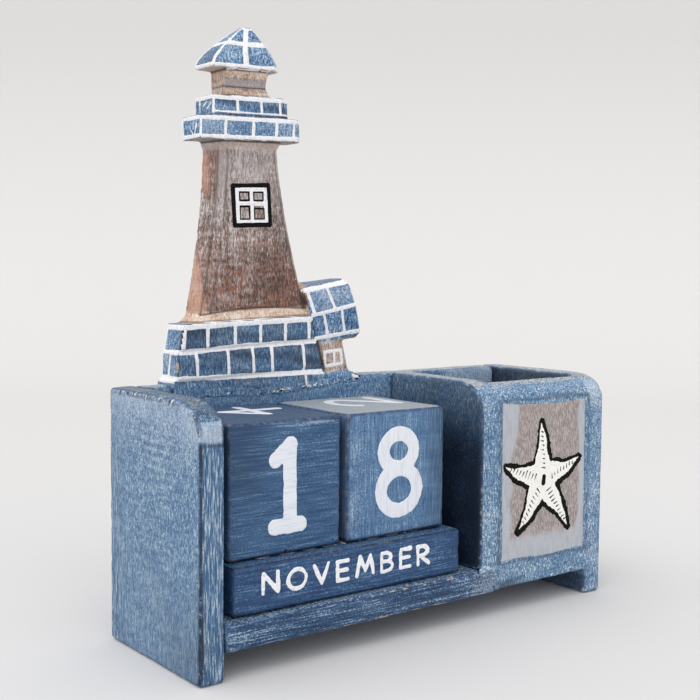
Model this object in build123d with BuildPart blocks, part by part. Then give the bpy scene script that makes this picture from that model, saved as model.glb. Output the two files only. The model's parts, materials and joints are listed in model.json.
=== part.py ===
from build123d import *
import os
from math import cos, radians, sin, tan

# Desk calendar of painted wood: an open tray that holds two number cubes on three month bars,
# a pen box at the right end, and a carved lighthouse let into the top of the back board.
# Sizes are in millimetres. X runs along the front, the front faces -Y, and +Z is up.
# The origin is on the table, under the middle of the whole calendar.

# Boards of the case
case_width = 165.3
side_thickness = 8.5
divider_thickness = 8.2
front_thickness = 8.4
back_thickness = 7.5
base_thickness = 8.5
case_height = 78.4
foot_height = 7.7
front_lift = 0.9
corner_drop = 8.5
side_corner_run = 15.0
pen_corner_run = 12.0
sanded_edge = 0.7

# Loose pieces and the room round them
cube_edge = 39.9
cube_round = 1.0
bar_section = 14.5
bar_round = 0.7
play = 0.2
rest_gap = 0.15
tray_left_room = 5.1
cube_gap = 2.2
tray_right_room = 9.6
bar_left_room = 4.3
bar_right_room = 5.9
front_ledge = 3.2

# Hidden fixings
nail_shank = (1.3, 1.0)
nail_head = (1.9, 1.3)
nail_head_height = 0.6
nail_length = 20.0
nail_sunk = 1.0
hole_clearance = 0.1
base_nail_shares = (0.3, 0.75)
board_nail_shares = (0.35, 0.8)
back_nail_shares = (0.12, 0.4, 0.88)
pen_nail_shares = (0.2, 0.5)
dowel_radius = 2.0
dowel_length = 22.0
dowel_end_room = 0.5
dowel_spacing = 28.0

# Lighthouse board and its seat in the back board. It leans to the left as a whole.
carving_thickness = 11.6
lean = 2.3
tower_from_side = 41.85
seat_depth = 3.2
seat_gap = 0.1
plinth_left = 31.7
plinth_right = 38.7
plinth_stand = 1.0
arris_cut = 0.5

# Brick base. Reaches are to the left and right of the tower's middle line.
base_reach = (30.6, 26.2)
base_middle_reach = (29.7, 23.4)
base_top_reach = (27.4, 20.8)
lower_tier_height = 10.5
upper_tier_height = 8.9
tier_step = 0.5
brick_cut = 0.9
brick_cut_height = 3.4
brick_line = 1.7

# Tower shaft, narrower than the base, set back from it and flaring towards its foot
shaft_top_reach = (10.6, 12.5)
shaft_foot_reach = (19.0, 22.1)
shaft_height = 52.2
shaft_bow = 1.5
shaft_set_back = 2.5
shaft_bevel = 2.6
shaft_flare = 1.8
shaft_steps = 7
cove_height = 3.2
cove_bite = 0.4
cove_steps = 4
under_cove_height = 2.3
under_cove_reach = 1.0
under_cove_front = 0.9

# Galleries, neck and roof
lower_gallery_height = 7.7
lower_gallery_reach = (19.4, 20.6)
upper_gallery_height = 6.5
upper_gallery_reach = (14.6, 16.0)
gallery_curl = 4.6
gallery_curl_steps = 4
neck_height = 8.2
neck_reach = (8.2, 8.2)
neck_lip = 0.6
neck_waist = 1.7
neck_scoop = 3.3
neck_shares = (0.0, 0.1, 0.47, 0.9, 1.0)
eave_height = 1.4
eave_reach = (14.1, 12.6)
eave_curl = 3.2
roof_height = 12.8
roof_middle = 2.0
roof_point = 1.8
roof_point_front = 4.6
roof_point_depth = 2.8
roof_bow = 1.4
roof_steps = 6

# Keeper's house that leans against the tower, drawn along its own tilted lines
house_from_tower = 32.3
house_tilt = 6.0
stem_reach = (4.7, 5.7)
stem_height = 11.8
stem_slant = 0.16
stem_front = 1.0
stem_cut = 1.2
cap_reach = (9.8, 11.0)
cap_slant = 0.2
cap_overhang = 4.1
cap_under_height = 1.8
cap_under_reach = 2.0
cap_under_front = 2.2
cap_row_height = 9.2
cap_row_lean = 1.0
cap_curl = 1.5
crown_height = 2.0
crown_back = 4.0

# Case places, worked out from the boards and from what they hold
tray_width = tray_left_room + 2 * cube_edge + cube_gap + tray_right_room
tray_depth = front_ledge + 3 * (bar_section + play)
front_y = -(tray_depth + carving_thickness) / 2
board_front = front_y + tray_depth
board_middle = board_front + back_thickness / 2
case_back = board_front + back_thickness
left_x = -case_width / 2
right_x = case_width / 2
tray_left = left_x + side_thickness
pen_right = right_x - side_thickness
divider_left = tray_left + tray_width
pen_left = divider_left + divider_thickness
pen_width = pen_right - pen_left
pen_front = front_y + front_thickness
floor_z = foot_height + base_thickness
base_middle = foot_height + base_thickness / 2
bars_foot = floor_z + rest_gap
bars_top = bars_foot + bar_section

# Frames of the carving, on the back board's front face at the foot of the brick base. Their X
# runs along the tilted rows and their Y runs up the tower or the house.
tower_x = tray_left + tower_from_side
foot_z = case_height + arris_cut
lean_angle = radians(lean)
tilt_angle = radians(house_tilt)
tower = Plane((tower_x, board_front, foot_z), (cos(lean_angle), 0, sin(lean_angle)), (0, -1, 0))
house_foot = (tower_x + house_from_tower, board_front, foot_z)
house = Plane(house_foot, (cos(tilt_angle), 0, sin(tilt_angle)), (0, -1, 0))

# Heights up the tower
base_top = lower_tier_height + upper_tier_height
shaft_foot = base_top - cove_bite + cove_height
shaft_top = shaft_foot + shaft_height
lower_gallery_foot = shaft_top + under_cove_height
upper_gallery_foot = lower_gallery_foot + lower_gallery_height
neck_foot = upper_gallery_foot + upper_gallery_height
eave_foot = neck_foot + neck_height
roof_foot = eave_foot + eave_height

os.makedirs("parts", exist_ok=True)


def finish(piece, name):
    """Name a finished piece and write it."""
    piece.part.label = name
    export_step(piece.part, "parts/" + name + ".step")


def nail(plane, clearance=0.0):
    """A flat-sided nail along a plane's normal from its sunk head, or the hole that it fills."""
    with BuildPart() as one_nail:
        for section, start, end in ((nail_shank, 0, nail_length), (nail_head, 0, nail_head_height)):
            with BuildSketch(plane.offset(start - clearance)):
                Rectangle(section[0] + 2 * clearance, section[1] + 2 * clearance)
            extrude(amount=end - start + 2 * clearance)
    return one_nail.part


def nail_holes(*groups):
    """The holes of several groups of nails."""
    return [nail(plane, hole_clearance) for group in groups for plane in group]


def dowels(clearance=0.0, end_room=0.0):
    """The two dowels that hold the lighthouse, or their holes."""
    with BuildPart(Plane((tower_x, board_middle, case_height - seat_depth))) as pegs:
        with Locations((-dowel_spacing / 2, 0), (dowel_spacing / 2, 0)):
            Cylinder(dowel_radius + clearance, dowel_length + 2 * end_room)
    return pegs.part


def board_end(plane, bottom, back, corner_run):
    """Outline of a board seen from its side, with its top front corner worked round."""
    with BuildSketch(plane) as outline:
        with BuildLine():
            corner = (front_y + corner_run, case_height - corner_drop)
            top_start = (corner[0], case_height)
            front_end = (front_y, corner[1])
            Polyline(top_start, (back, case_height), (back, bottom), (front_y, bottom), front_end)
            EllipticalCenterArc(corner, corner_run, corner_drop, start_angle=90, arc_size=90)
        make_face()
    return outline.sketch


def seat_outline(gap=0.0):
    """Outline of the plinth on the carving's front face, or of the seat that takes it."""
    left = tower_x - plinth_left - gap
    right = tower_x + plinth_right + gap
    middle = case_height - seat_depth - gap
    top = case_height + plinth_stand
    slope = tan(lean_angle)
    with BuildSketch(Plane.XZ.offset(-board_front)) as outline:
        with BuildLine():
            left_foot = (left, middle + (left - tower_x) * slope)
            right_foot = (right, middle + (right - tower_x) * slope)
            Polyline(left_foot, right_foot, (right, top), (left, top), close=True)
        make_face()
    return outline.sketch


def across(
    frame,
    height,
    reach,
    front,
    cuts=(arris_cut, arris_cut),
    flare=0.0,
    back=carving_thickness,
    shift=0.0,
    curl_steps=1,
):
    """Level section of the carving at a height: a rectangle with its two front corners worked off."""
    left = shift - reach[0]
    right = shift + reach[1]
    outline = [(left - flare, back), (left, front + cuts[0]), (left + cuts[0], front)]
    for step in range(curl_steps + 1):
        turn = radians(90 * step / curl_steps)
        outline.append((right - cuts[1] * (1 - sin(turn)), front + cuts[1] * (1 - cos(turn))))
    outline.append((right + flare, back))
    level = Plane(frame.from_local_coords((0, height, 0)), x_dir=frame.x_dir, z_dir=frame.y_dir)
    with BuildSketch(level) as section:
        with BuildLine():
            Polyline(outline, close=True)
        make_face()
    return section.sketch


def between(start, end, share):
    """A value, or each of a pair of values, at a share of the way from start to end."""
    if isinstance(start, tuple):
        return tuple(a + (b - a) * share for a, b in zip(start, end))
    return start + (end - start) * share


# Nail places. Each plane lies at a nail's head with its normal along the nail.
base_spots = [between(front_y, board_front, share) for share in base_nail_shares]
board_spots = [between(foot_height, case_height, share) for share in board_nail_shares]
side_spots = [(y, base_middle) for y in base_spots] + [(board_middle, z) for z in board_spots]
left_nails = [Plane((left_x + nail_sunk, y, z), z_dir=(1, 0, 0)) for y, z in side_spots]
right_nails = [Plane((right_x - nail_sunk, y, z), z_dir=(-1, 0, 0)) for y, z in side_spots]
divider_x = divider_left + divider_thickness / 2
divider_foot_nails = [Plane((divider_x, y, foot_height + nail_sunk)) for y in base_spots]
divider_back_nails = [Plane((divider_x, case_back - nail_sunk, z), z_dir=(0, -1, 0)) for z in board_spots]
back_spots = [between(tray_left, pen_right, share) for share in back_nail_shares]
back_nails = [Plane((x, case_back - nail_sunk, base_middle), z_dir=(0, -1, 0)) for x in back_spots]
pen_spots = [between(pen_left, pen_right, share) for share in pen_nail_shares]
pen_foot_nails = [Plane((x, front_y + nail_sunk, base_middle), z_dir=(0, 1, 0)) for x in pen_spots]
pen_end_y = front_y + front_thickness / 2
pen_end_nails = [Plane((right_x - nail_sunk, pen_end_y, z), z_dir=(-1, 0, 0)) for z in board_spots]

# Side panels, which stand on the table
with BuildPart() as left_side_panel:
    extrude(board_end(Plane.YZ.offset(left_x), 0, case_back, side_corner_run), amount=side_thickness)
    chamfer(left_side_panel.edges(), sanded_edge)
    add(nail_holes(left_nails), mode=Mode.SUBTRACT)
finish(left_side_panel, "left_side_panel")

with BuildPart() as right_side_panel:
    extrude(board_end(Plane.YZ.offset(pen_right), 0, case_back, pen_corner_run), amount=side_thickness)
    chamfer(right_side_panel.edges(), sanded_edge)
    add(nail_holes(right_nails, pen_end_nails), mode=Mode.SUBTRACT)
finish(right_side_panel, "right_side_panel")

# Divider between the tray and the pen box, standing on the base board
with BuildPart() as divider_panel:
    divider_outline = board_end(Plane.YZ.offset(divider_left), floor_z, board_front, pen_corner_run)
    extrude(divider_outline, amount=divider_thickness)
    side_edges = divider_panel.faces().filter_by(Axis.X).edges()
    open_edges = side_edges.filter_by(lambda e: e.center().Z > floor_z + sanded_edge)
    open_edges = open_edges.filter_by(lambda e: e.center().Y < board_front - sanded_edge)
    chamfer(open_edges, sanded_edge)
    add(nail_holes(divider_foot_nails, divider_back_nails), mode=Mode.SUBTRACT)
finish(divider_panel, "divider_panel")

# Base board, cut back at the right for the pen box's front panel
with BuildPart() as base_board:
    with BuildSketch(Plane.XY.offset(foot_height)):
        with BuildLine():
            Polyline(
                (tray_left, front_y),
                (pen_left, front_y),
                (pen_left, pen_front),
                (pen_right, pen_front),
                (pen_right, board_front),
                (tray_left, board_front),
                close=True,
            )
        make_face()
    extrude(amount=base_thickness)
    front_edges = base_board.faces().sort_by(Axis.Y)[0].edges().filter_by(Axis.X)
    chamfer(front_edges, sanded_edge)
    side_holes = nail_holes(left_nails, right_nails)
    add(side_holes, mode=Mode.SUBTRACT)
    add(nail_holes(divider_foot_nails, back_nails, pen_foot_nails), mode=Mode.SUBTRACT)
finish(base_board, "base_board")

# Back board, with the slanted seat of the lighthouse in its top edge
with BuildPart() as back_board:
    with BuildSketch(Plane.XZ.offset(-board_front)):
        with BuildLine():
            Polyline(
                (tray_left, foot_height),
                (pen_right, foot_height),
                (pen_right, case_height),
                (tray_left, case_height),
                close=True,
            )
        make_face()
    extrude(amount=-back_thickness)
    chamfer(back_board.faces().sort_by(Axis.Z)[-1].edges().filter_by(Axis.X), sanded_edge)
    extrude(seat_outline(seat_gap), amount=-back_thickness, mode=Mode.SUBTRACT)
    add(dowels(hole_clearance, dowel_end_room), mode=Mode.SUBTRACT)
    add(side_holes, mode=Mode.SUBTRACT)
    add(nail_holes(divider_back_nails, back_nails), mode=Mode.SUBTRACT)
finish(back_board, "back_board")

# Front panel of the pen box, worked round at its top together with the panels beside it
with BuildPart() as pen_box_front_panel:
    panel_foot = foot_height + front_lift
    extrude(board_end(Plane.YZ.offset(pen_left), panel_foot, case_back, pen_corner_run), amount=pen_width)
    split(bisect_by=Plane.XZ.offset(-pen_front))
    add(nail_holes(pen_foot_nails, pen_end_nails), mode=Mode.SUBTRACT)
finish(pen_box_front_panel, "pen_box_front_panel")

# Carved lighthouse: every form is drawn through level sections of one board, which stay behind
# the back board's front face, so that the cubes lift past them
with BuildPart() as lighthouse_carving:
    extrude(seat_outline(), amount=-carving_thickness)

    # Two tiers of bricks
    step_reach = tuple(reach - tier_step for reach in base_middle_reach)
    for foot, foot_reach, top, top_reach in (
        (-plinth_stand, base_reach, lower_tier_height, base_middle_reach),
        (lower_tier_height, step_reach, base_top, base_top_reach),
    ):
        loft([across(tower, foot, foot_reach, 0), across(tower, top, top_reach, 0)], ruled=True)

    # Hollow foot of each brick row, above its line of mortar
    for row_foot in (plinth_stand + brick_line / 2, lower_tier_height + brick_line / 2):
        row_plane = Plane(tower.from_local_coords((0, row_foot, 0)), x_dir=tower.z_dir, z_dir=tower.x_dir)
        with BuildSketch(row_plane):
            with BuildLine():
                Polyline(
                    (brick_cut, 0),
                    (-brick_cut, 0),
                    (0, brick_cut_height),
                    (brick_cut, brick_cut_height),
                    close=True,
                )
            make_face()
        extrude(amount=base_reach[0], both=True, mode=Mode.SUBTRACT)

    # Cove from the shaft out to the shoulders of the base
    cove = []
    for step in range(cove_steps + 1):
        turn = radians(90 * step / cove_steps)
        out = 1 - cos(turn)
        height = shaft_foot - cove_height * sin(turn)
        reach = between(shaft_foot_reach, base_top_reach, out)
        cut = between(shaft_bevel, arris_cut, out)
        front = between(shaft_set_back, 0, out)
        flare = between(shaft_flare, 0, out)
        cove.append(across(tower, height, reach, front, (cut, cut), flare))
    loft(cove, ruled=True)

    # Shaft, and the cove under the lower gallery
    shaft_cuts = (shaft_bevel, shaft_bevel)
    shaft = []
    for step in range(shaft_steps + 1):
        share = step / shaft_steps
        reach = between(shaft_top_reach, shaft_foot_reach, share**shaft_bow)
        height = shaft_top - shaft_height * share
        shaft.append(across(tower, height, reach, shaft_set_back, shaft_cuts, shaft_flare))
    loft(shaft, ruled=True)
    under_reach = tuple(reach + under_cove_reach for reach in shaft_top_reach)
    under_gallery = across(tower, lower_gallery_foot, under_reach, under_cove_front, shaft_cuts, shaft_flare)
    loft([under_gallery, shaft[0]], ruled=True)

    # Two galleries with their right front corners rounded away
    gallery_cuts = (arris_cut, gallery_curl)
    for foot, top, reach in (
        (lower_gallery_foot, upper_gallery_foot, lower_gallery_reach),
        (upper_gallery_foot, neck_foot, upper_gallery_reach),
    ):
        gallery = []
        for height in (foot, top):
            gallery.append(across(tower, height, reach, 0, gallery_cuts, curl_steps=gallery_curl_steps))
        loft(gallery, ruled=True)

    # Neck, scooped from above and from below
    neck_fronts = (neck_lip, neck_waist, neck_scoop, neck_waist, neck_waist)
    neck = []
    for share, front in zip(neck_shares, neck_fronts):
        neck.append(across(tower, between(neck_foot, eave_foot, share), neck_reach, front))
    loft(neck, ruled=True)

    # Eave and bowed roof
    eave_cuts = (arris_cut, eave_curl)
    loft([across(tower, height, eave_reach, 0, eave_cuts) for height in (eave_foot, roof_foot)], ruled=True)
    point_reach = (roof_point - roof_middle, roof_point + roof_middle)
    point_cuts = (arris_cut, arris_cut)
    roof = []
    for step in range(roof_steps + 1):
        share = step / roof_steps
        drawn = share**roof_bow
        roof.append(
            across(
                tower,
                roof_foot + roof_height * share,
                between(eave_reach, point_reach, drawn),
                roof_point_front * drawn,
                between(eave_cuts, point_cuts, drawn),
                back=between(carving_thickness, roof_point_front + roof_point_depth, drawn),
            )
        )
    loft(roof, ruled=True)

    # Keeper's house: a stem under a cap of two tiled rows, all slanting to the left
    stem_cuts = (arris_cut, stem_cut)
    stem = []
    for height in (-plinth_stand, stem_height):
        stem.append(across(house, height, stem_reach, stem_front, stem_cuts, shift=-stem_slant * height))
    loft(stem, ruled=True)
    cap_foot = stem_height - cap_under_height / 2
    cap_levels = (
        (0, cap_under_reach, cap_under_front),
        (cap_under_height, 0, cap_row_lean),
        (cap_under_height + cap_row_height, 0, 0),
        (cap_under_height + 2 * cap_row_height - crown_height / 2, 0, cap_row_lean),
        (cap_under_height + 2 * cap_row_height + crown_height / 2, arris_cut, crown_back),
    )
    cap = []
    for rise, draw, front in cap_levels:
        height = cap_foot + rise
        reach = tuple(side - draw for side in cap_reach)
        shift = cap_overhang - cap_slant * height
        cap.append(across(house, height, reach, front, (arris_cut, cap_curl), shift=shift))
    loft(cap, ruled=True)

    add(dowels(hole_clearance, dowel_end_room), mode=Mode.SUBTRACT)
finish(lighthouse_carving, "lighthouse_carving")

# Month bars, side by side on the base board
bar_length = tray_width - bar_left_room - bar_right_room
for place, bar_name in enumerate(("rear_month_bar", "middle_month_bar", "front_month_bar")):
    bar_back = board_front - play - place * (bar_section + play)
    with BuildPart() as month_bar:
        with BuildSketch(Plane.YZ.offset(tray_left + bar_left_room)):
            with Locations((bar_back - bar_section / 2, bars_foot + bar_section / 2)):
                Rectangle(bar_section, bar_section)
        extrude(amount=bar_length)
        fillet(month_bar.edges(), bar_round)
    finish(month_bar, bar_name)

# Number cubes, resting on the month bars
for place, cube_name in enumerate(("tens_cube", "units_cube")):
    cube_x = tray_left + tray_left_room + cube_edge / 2 + place * (cube_edge + cube_gap)
    cube_y = board_front - play - cube_edge / 2
    with BuildPart() as number_cube:
        with BuildSketch(Plane.XY.offset(bars_top + rest_gap)):
            with Locations((cube_x, cube_y)):
                Rectangle(cube_edge, cube_edge)
        extrude(amount=cube_edge)
        fillet(number_cube.edges(), cube_round)
    finish(number_cube, cube_name)

# Nails and dowels
for nail_name, planes in (
    ("left_panel_nails", left_nails),
    ("right_panel_nails", right_nails),
    ("divider_nails", divider_foot_nails + divider_back_nails),
    ("back_board_nails", back_nails),
    ("pen_front_nails", pen_foot_nails + pen_end_nails),
):
    with BuildPart() as nail_group:
        add([nail(plane) for plane in planes])
    finish(nail_group, nail_name)

with BuildPart() as lighthouse_dowels:
    add(dowels())
finish(lighthouse_dowels, "lighthouse_dowels")
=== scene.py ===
"""Desk calendar of painted wood: brushed blue boards, number cubes and month bars, and a carved
lighthouse with hand-painted bricks. Sizes are in millimetres until a mesh is made."""

import json
from functools import partial
from math import cos, pi, radians, sin

import bmesh
import bpy
import numpy as np
from mathutils import Matrix, Vector
from mathutils.bvhtree import BVHTree

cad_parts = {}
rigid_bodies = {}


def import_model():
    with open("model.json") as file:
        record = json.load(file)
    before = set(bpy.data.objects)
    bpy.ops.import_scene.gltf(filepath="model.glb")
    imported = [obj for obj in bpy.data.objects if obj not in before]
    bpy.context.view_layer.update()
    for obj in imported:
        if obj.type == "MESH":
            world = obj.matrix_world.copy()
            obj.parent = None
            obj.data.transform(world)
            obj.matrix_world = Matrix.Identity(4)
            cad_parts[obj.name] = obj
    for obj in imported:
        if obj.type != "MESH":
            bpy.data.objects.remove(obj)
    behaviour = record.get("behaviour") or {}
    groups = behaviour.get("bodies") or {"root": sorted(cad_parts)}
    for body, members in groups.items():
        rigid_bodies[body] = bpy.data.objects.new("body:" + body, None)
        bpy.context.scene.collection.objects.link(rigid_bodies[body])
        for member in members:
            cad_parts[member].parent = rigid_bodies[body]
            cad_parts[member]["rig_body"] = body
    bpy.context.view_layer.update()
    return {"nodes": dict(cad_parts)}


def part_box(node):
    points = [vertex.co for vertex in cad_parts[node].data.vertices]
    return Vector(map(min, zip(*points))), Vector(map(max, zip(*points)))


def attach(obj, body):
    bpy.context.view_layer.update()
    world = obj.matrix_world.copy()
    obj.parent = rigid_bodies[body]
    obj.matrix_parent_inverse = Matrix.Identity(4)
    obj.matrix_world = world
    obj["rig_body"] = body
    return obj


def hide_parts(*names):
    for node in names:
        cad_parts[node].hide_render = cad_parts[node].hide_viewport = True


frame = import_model()
nodes = frame["nodes"]
MM = 0.001

# Camera place and turn, in millimetres and degrees, and its focal length for a 36 mm wide frame
camera_place = (-234.134, -292.35, 113.317)
camera_yaw = -37.575
camera_pitch = -3.875
camera_roll = 0.425
camera_lens = 58.23

# The carving leans to the left. These sizes are those of its solid.
tower_from_tray = 41.85
house_from_tower = 32.3
tower_lean = radians(2.3)
house_tilt = radians(6.0)
foot_rise = 0.5
eave_left, eave_right = -14.1, 12.6
point_left, point_right = 0.2, 3.8
roof_foot, roof_height, roof_bow = 100.5, 12.8, 1.4

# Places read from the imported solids
panel_low, panel_high = (np.array(corner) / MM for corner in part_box("left_side_panel"))
back_low, back_high = (np.array(corner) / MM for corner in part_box("back_board"))
tower_x = panel_high[0] + tower_from_tray
house_x = tower_x + house_from_tower
foot_z = panel_high[2] + foot_rise
front_y = panel_low[1]
board_front = back_low[1]
pen_front_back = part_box("pen_box_front_panel")[1][1] / MM


def linear(code):
    """Linear colour of a sRGB hex code, with full cover."""
    parts = [int(code[place : place + 2], 16) / 255 for place in (1, 3, 5)]
    return tuple(p / 12.92 if p <= 0.04045 else ((p + 0.055) / 1.055) ** 2.4 for p in parts) + (1.0,)


def put(tree, kind, inputs=None, stops=(), **settings):
    """Add one shader node. An input takes a value, a hex colour, another node or its output.
    Stops are a colour ramp's positions and colours."""
    made = tree.nodes.new("ShaderNode" + kind)
    for name, value in settings.items():
        setattr(made, name, value)
    for name, value in (inputs or {}).items():
        if isinstance(value, bpy.types.Node):
            value = value.outputs[0]
        if isinstance(value, bpy.types.NodeSocket):
            tree.links.new(value, made.inputs[name])
        else:
            made.inputs[name].default_value = linear(value) if isinstance(value, str) else value
    if stops:
        elements = made.color_ramp.elements
        for position, colour in stops:
            elements.new(position).color = linear(colour)
        elements.remove(elements[-1])
        elements.remove(elements[0])
    return made


def per_length(*lengths):
    """Scale of a pattern from its size in millimetres along X, Y and Z."""
    return tuple(1 / (length * MM) for length in lengths)


def spread(colours, middle, span):
    """Colours from dark to light as the stops of a ramp about a noise's middle."""
    return [(middle + span * (2 * k / (len(colours) - 1) - 1), colour) for k, colour in enumerate(colours)]


def new_finish(name, roughness, ior):
    """A material with its node adder, its shader and the place that its patterns start from."""
    made = bpy.data.materials.new(name)
    made.use_nodes = True
    add = partial(put, made.node_tree)
    shader = made.node_tree.nodes["Principled BSDF"]
    shader.inputs["Roughness"].default_value = roughness
    shader.inputs["IOR"].default_value = ior
    return made, add, shader, add("TexCoord").outputs["Object"]


def close_finish(made, add, shader, colour, relief, depth):
    """Link a finish's colour, and its relief of a depth in millimetres, to its shader."""
    bump = add("Bump", {"Height": relief, "Strength": 0.7, "Distance": depth * MM})
    made.node_tree.links.new(colour.outputs[0], shader.inputs["Base Color"])
    made.node_tree.links.new(bump.outputs[0], shader.inputs["Normal"])
    return made


def tinted(add, colour, amount, low, high, tone, most=1.0):
    """A colour with a tone laid over it where an amount rises from low to high."""
    part = add("MapRange", {"Value": amount, "From Min": low, "From Max": high, "To Max": most})
    return add("MixRGB", {"Fac": part, "Color1": colour, "Color2": tone})


def new_object(name, data):
    """An object in the scene."""
    made = bpy.data.objects.new(name, data)
    bpy.context.scene.collection.objects.link(made)
    return made


def ripple(points, size, seed, waves=9):
    """Smooth unevenness from -1 to 1 over points, with bumps of about the given size."""
    draw = np.random.default_rng(seed)
    total = np.zeros(points.shape[:-1])
    for _ in range(waves):
        direction = draw.normal(size=points.shape[-1])
        direction *= 2 * pi / (size * draw.uniform(1.2, 3.2)) / np.linalg.norm(direction)
        total += np.sin(points @ direction + draw.uniform(0, 2 * pi))
    return total / waves**0.5 / 1.4


def smoothed(points, edges, rounds):
    """Points drawn halfway towards the middle of their neighbours, several times."""
    ends = np.concatenate((edges, edges[:, ::-1]))
    count = np.bincount(ends[:, 0], minlength=len(points))
    for _ in range(rounds):
        middle = [np.bincount(ends[:, 0], points[ends[:, 1], axis], len(points)) for axis in range(3)]
        points = (points + np.stack(middle, -1) / count[:, None]) / 2
    return points


def store(mesh, **values):
    """Keep a value for each point of a mesh, for its material to read."""
    for name, value in values.items():
        mesh.attributes.new(name, "FLOAT", "POINT").data.foreach_set("value", value.astype(np.float32))


def read_points(mesh):
    """Places and normals of a mesh's points, in millimetres."""
    places = np.empty(len(mesh.vertices) * 3, np.float32)
    normals = np.empty(len(mesh.vertices) * 3, np.float32)
    mesh.vertices.foreach_get("co", places)
    mesh.vertex_normals.foreach_get("vector", normals)
    return places.reshape(-1, 3).astype(float) / MM, normals.reshape(-1, 3).astype(float)


def rising(values, start, end):
    """Values as a smooth share from 0 at start to 1 at end."""
    share = np.clip((values - start) / (end - start), 0, 1)
    return share * share * (3 - 2 * share)


def falling(values, start, end):
    """Values as a smooth share from 1 at start to 0 at end."""
    return rising(-values, -end, -start)


def band(values, start, full, fading, end):
    """Values as a smooth share that rises from start to full and falls from fading to end."""
    return rising(values, start, full) * falling(values, fading, end)


def line_glow(values, place, width):
    """1 on a line across the values, fading on both sides."""
    return np.exp(-(((values - place) / width) ** 2))


# Drawing planes: each side's direction to the right, upwards and outwards
SIDES = {
    "front": ((1, 0, 0), (0, 0, 1), (0, -1, 0)),
    "back": ((-1, 0, 0), (0, 0, 1), (0, 1, 0)),
    "left": ((0, -1, 0), (0, 0, 1), (-1, 0, 0)),
    "right": ((0, 1, 0), (0, 0, 1), (1, 0, 0)),
    "top": ((1, 0, 0), (0, 1, 0), (0, 0, 1)),
    "bottom": ((1, 0, 0), (0, -1, 0), (0, 0, -1)),
}


def facing(normals, side, start=0.5, end=0.8):
    """Share of the points whose surface looks to a side."""
    return rising(normals @ np.array(SIDES[side][2]), start, end)


def outer_shell(mesh):
    """Points, edges and faces of a mesh's outer surface, without the nail holes closed in it."""
    points, _ = read_points(mesh)
    edges = np.empty(len(mesh.edges) * 2, np.int32)
    mesh.edges.foreach_get("vertices", edges)
    edges = edges.reshape(-1, 2)
    shell = np.arange(len(points))
    while True:
        before = shell.copy()
        np.minimum.at(shell, edges[:, 0], shell[edges[:, 1]])
        np.minimum.at(shell, edges[:, 1], shell[edges[:, 0]])
        shell = shell[shell]
        if (shell == before).all():
            break
    outer = shell == np.bincount(shell).argmax()
    number = np.cumsum(outer) - 1
    faces = [[number[v] for v in face.vertices] for face in mesh.polygons if outer[face.vertices[0]]]
    return points[outer], number[edges[outer[edges[:, 0]]]], faces


# Surfaces that paint is laid on, by name
surfaces = {}

# Rounds of softening for the shape, and wider ones that find its edges
soft_rounds, edge_rounds = 2, 5

# Size of the waves, size and depth of the nicks, and depth of the creases
wave_size, nick_size, nick_depth, crease_depth = 14, 2.2, 0.3, 0.25


def worked_wood(node, voxel, material, marks, seed, waviness=0.08, sunk=0.05):
    """A solid's surface as worked by hand: softened edges, slight waves and small nicks. Marks
    gives the paint's tones, painted light and shade among them, from the points and normals, and
    where an edge is joined to the next piece by filler."""
    source = nodes[node]
    solid = new_object(node + "_solid", source.data.copy())
    remesh = solid.modifiers.new("remesh", "REMESH")
    remesh.mode = "VOXEL"
    remesh.voxel_size = voxel * MM
    shape = solid.evaluated_get(bpy.context.evaluated_depsgraph_get())
    points, edges, faces = outer_shell(bpy.data.meshes.new_from_object(shape))
    bpy.data.objects.remove(solid)
    points = smoothed(points, edges, soft_rounds)
    mesh = bpy.data.meshes.new(node + "_worked")
    mesh.from_pydata((points * MM).tolist(), [], faces)
    _, normals = read_points(mesh)
    edge = ((points - smoothed(points, edges, edge_rounds)) * normals).sum(-1)
    edge = np.clip(edge / np.percentile(edge, 99.5), -1, 1)
    plain = np.zeros(len(points))
    # Tops take the top tones, a pale wash that is partly a painted sheen
    worked = {"rim": facing(normals, "top", 0.78, 0.95), "pale": plain, "shade": plain, "ends": plain}
    worked.update(marks(points, normals))
    worked["edge"] = edge * (1 - worked.pop("joined", 0))
    nicks = np.clip(ripple(points, nick_size, seed + 50) - 0.3, 0, 1) * np.clip(worked["edge"], 0, 1)
    height = waviness * (ripple(points, wave_size, seed) - 1) - sunk
    height -= nick_depth * nicks + crease_depth * worked.get("crease", 0)
    points = points + normals * height[:, None]
    mesh.vertices.foreach_set("co", (points * MM).ravel())
    store(mesh, **worked)
    mesh.shade_smooth()
    mesh.materials.append(material)
    mesh.update()
    surfaces[node] = BVHTree.FromPolygons(points.tolist(), faces)
    piece = new_object(node + "_worked", mesh)
    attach(piece, source["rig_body"])
    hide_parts(node)


def stroke_gap(places, strokes):
    """Distance from places to the nearest edge of any stroke, less than zero inside."""
    best = np.full(places.shape[:-1], np.inf)
    for points, *widths in strokes:
        first, last = widths[0], widths[-1]
        steps = len(points) - 1
        for index in range(steps):
            start, end = np.array(points[index], float), np.array(points[index + 1], float)
            run = end - start
            share = np.clip(((places - start) @ run) / max(run @ run, 1e-9), 0, 1)
            width = first + (last - first) * (index + share) / steps
            gap = np.linalg.norm(places - start - share[..., None] * run, axis=-1) - width / 2
            best = np.minimum(best, gap)
    return best


# A film is full this far from its edge, and its edge and its back lie this deep in the wood
film_edge, edge_depth, back_depth = 0.35, 0.03, 0.2

# Paint is laid from this far off, and holds where the surface is turned this much towards it
brush_distance, least_turned = 300.0, 0.05


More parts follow.
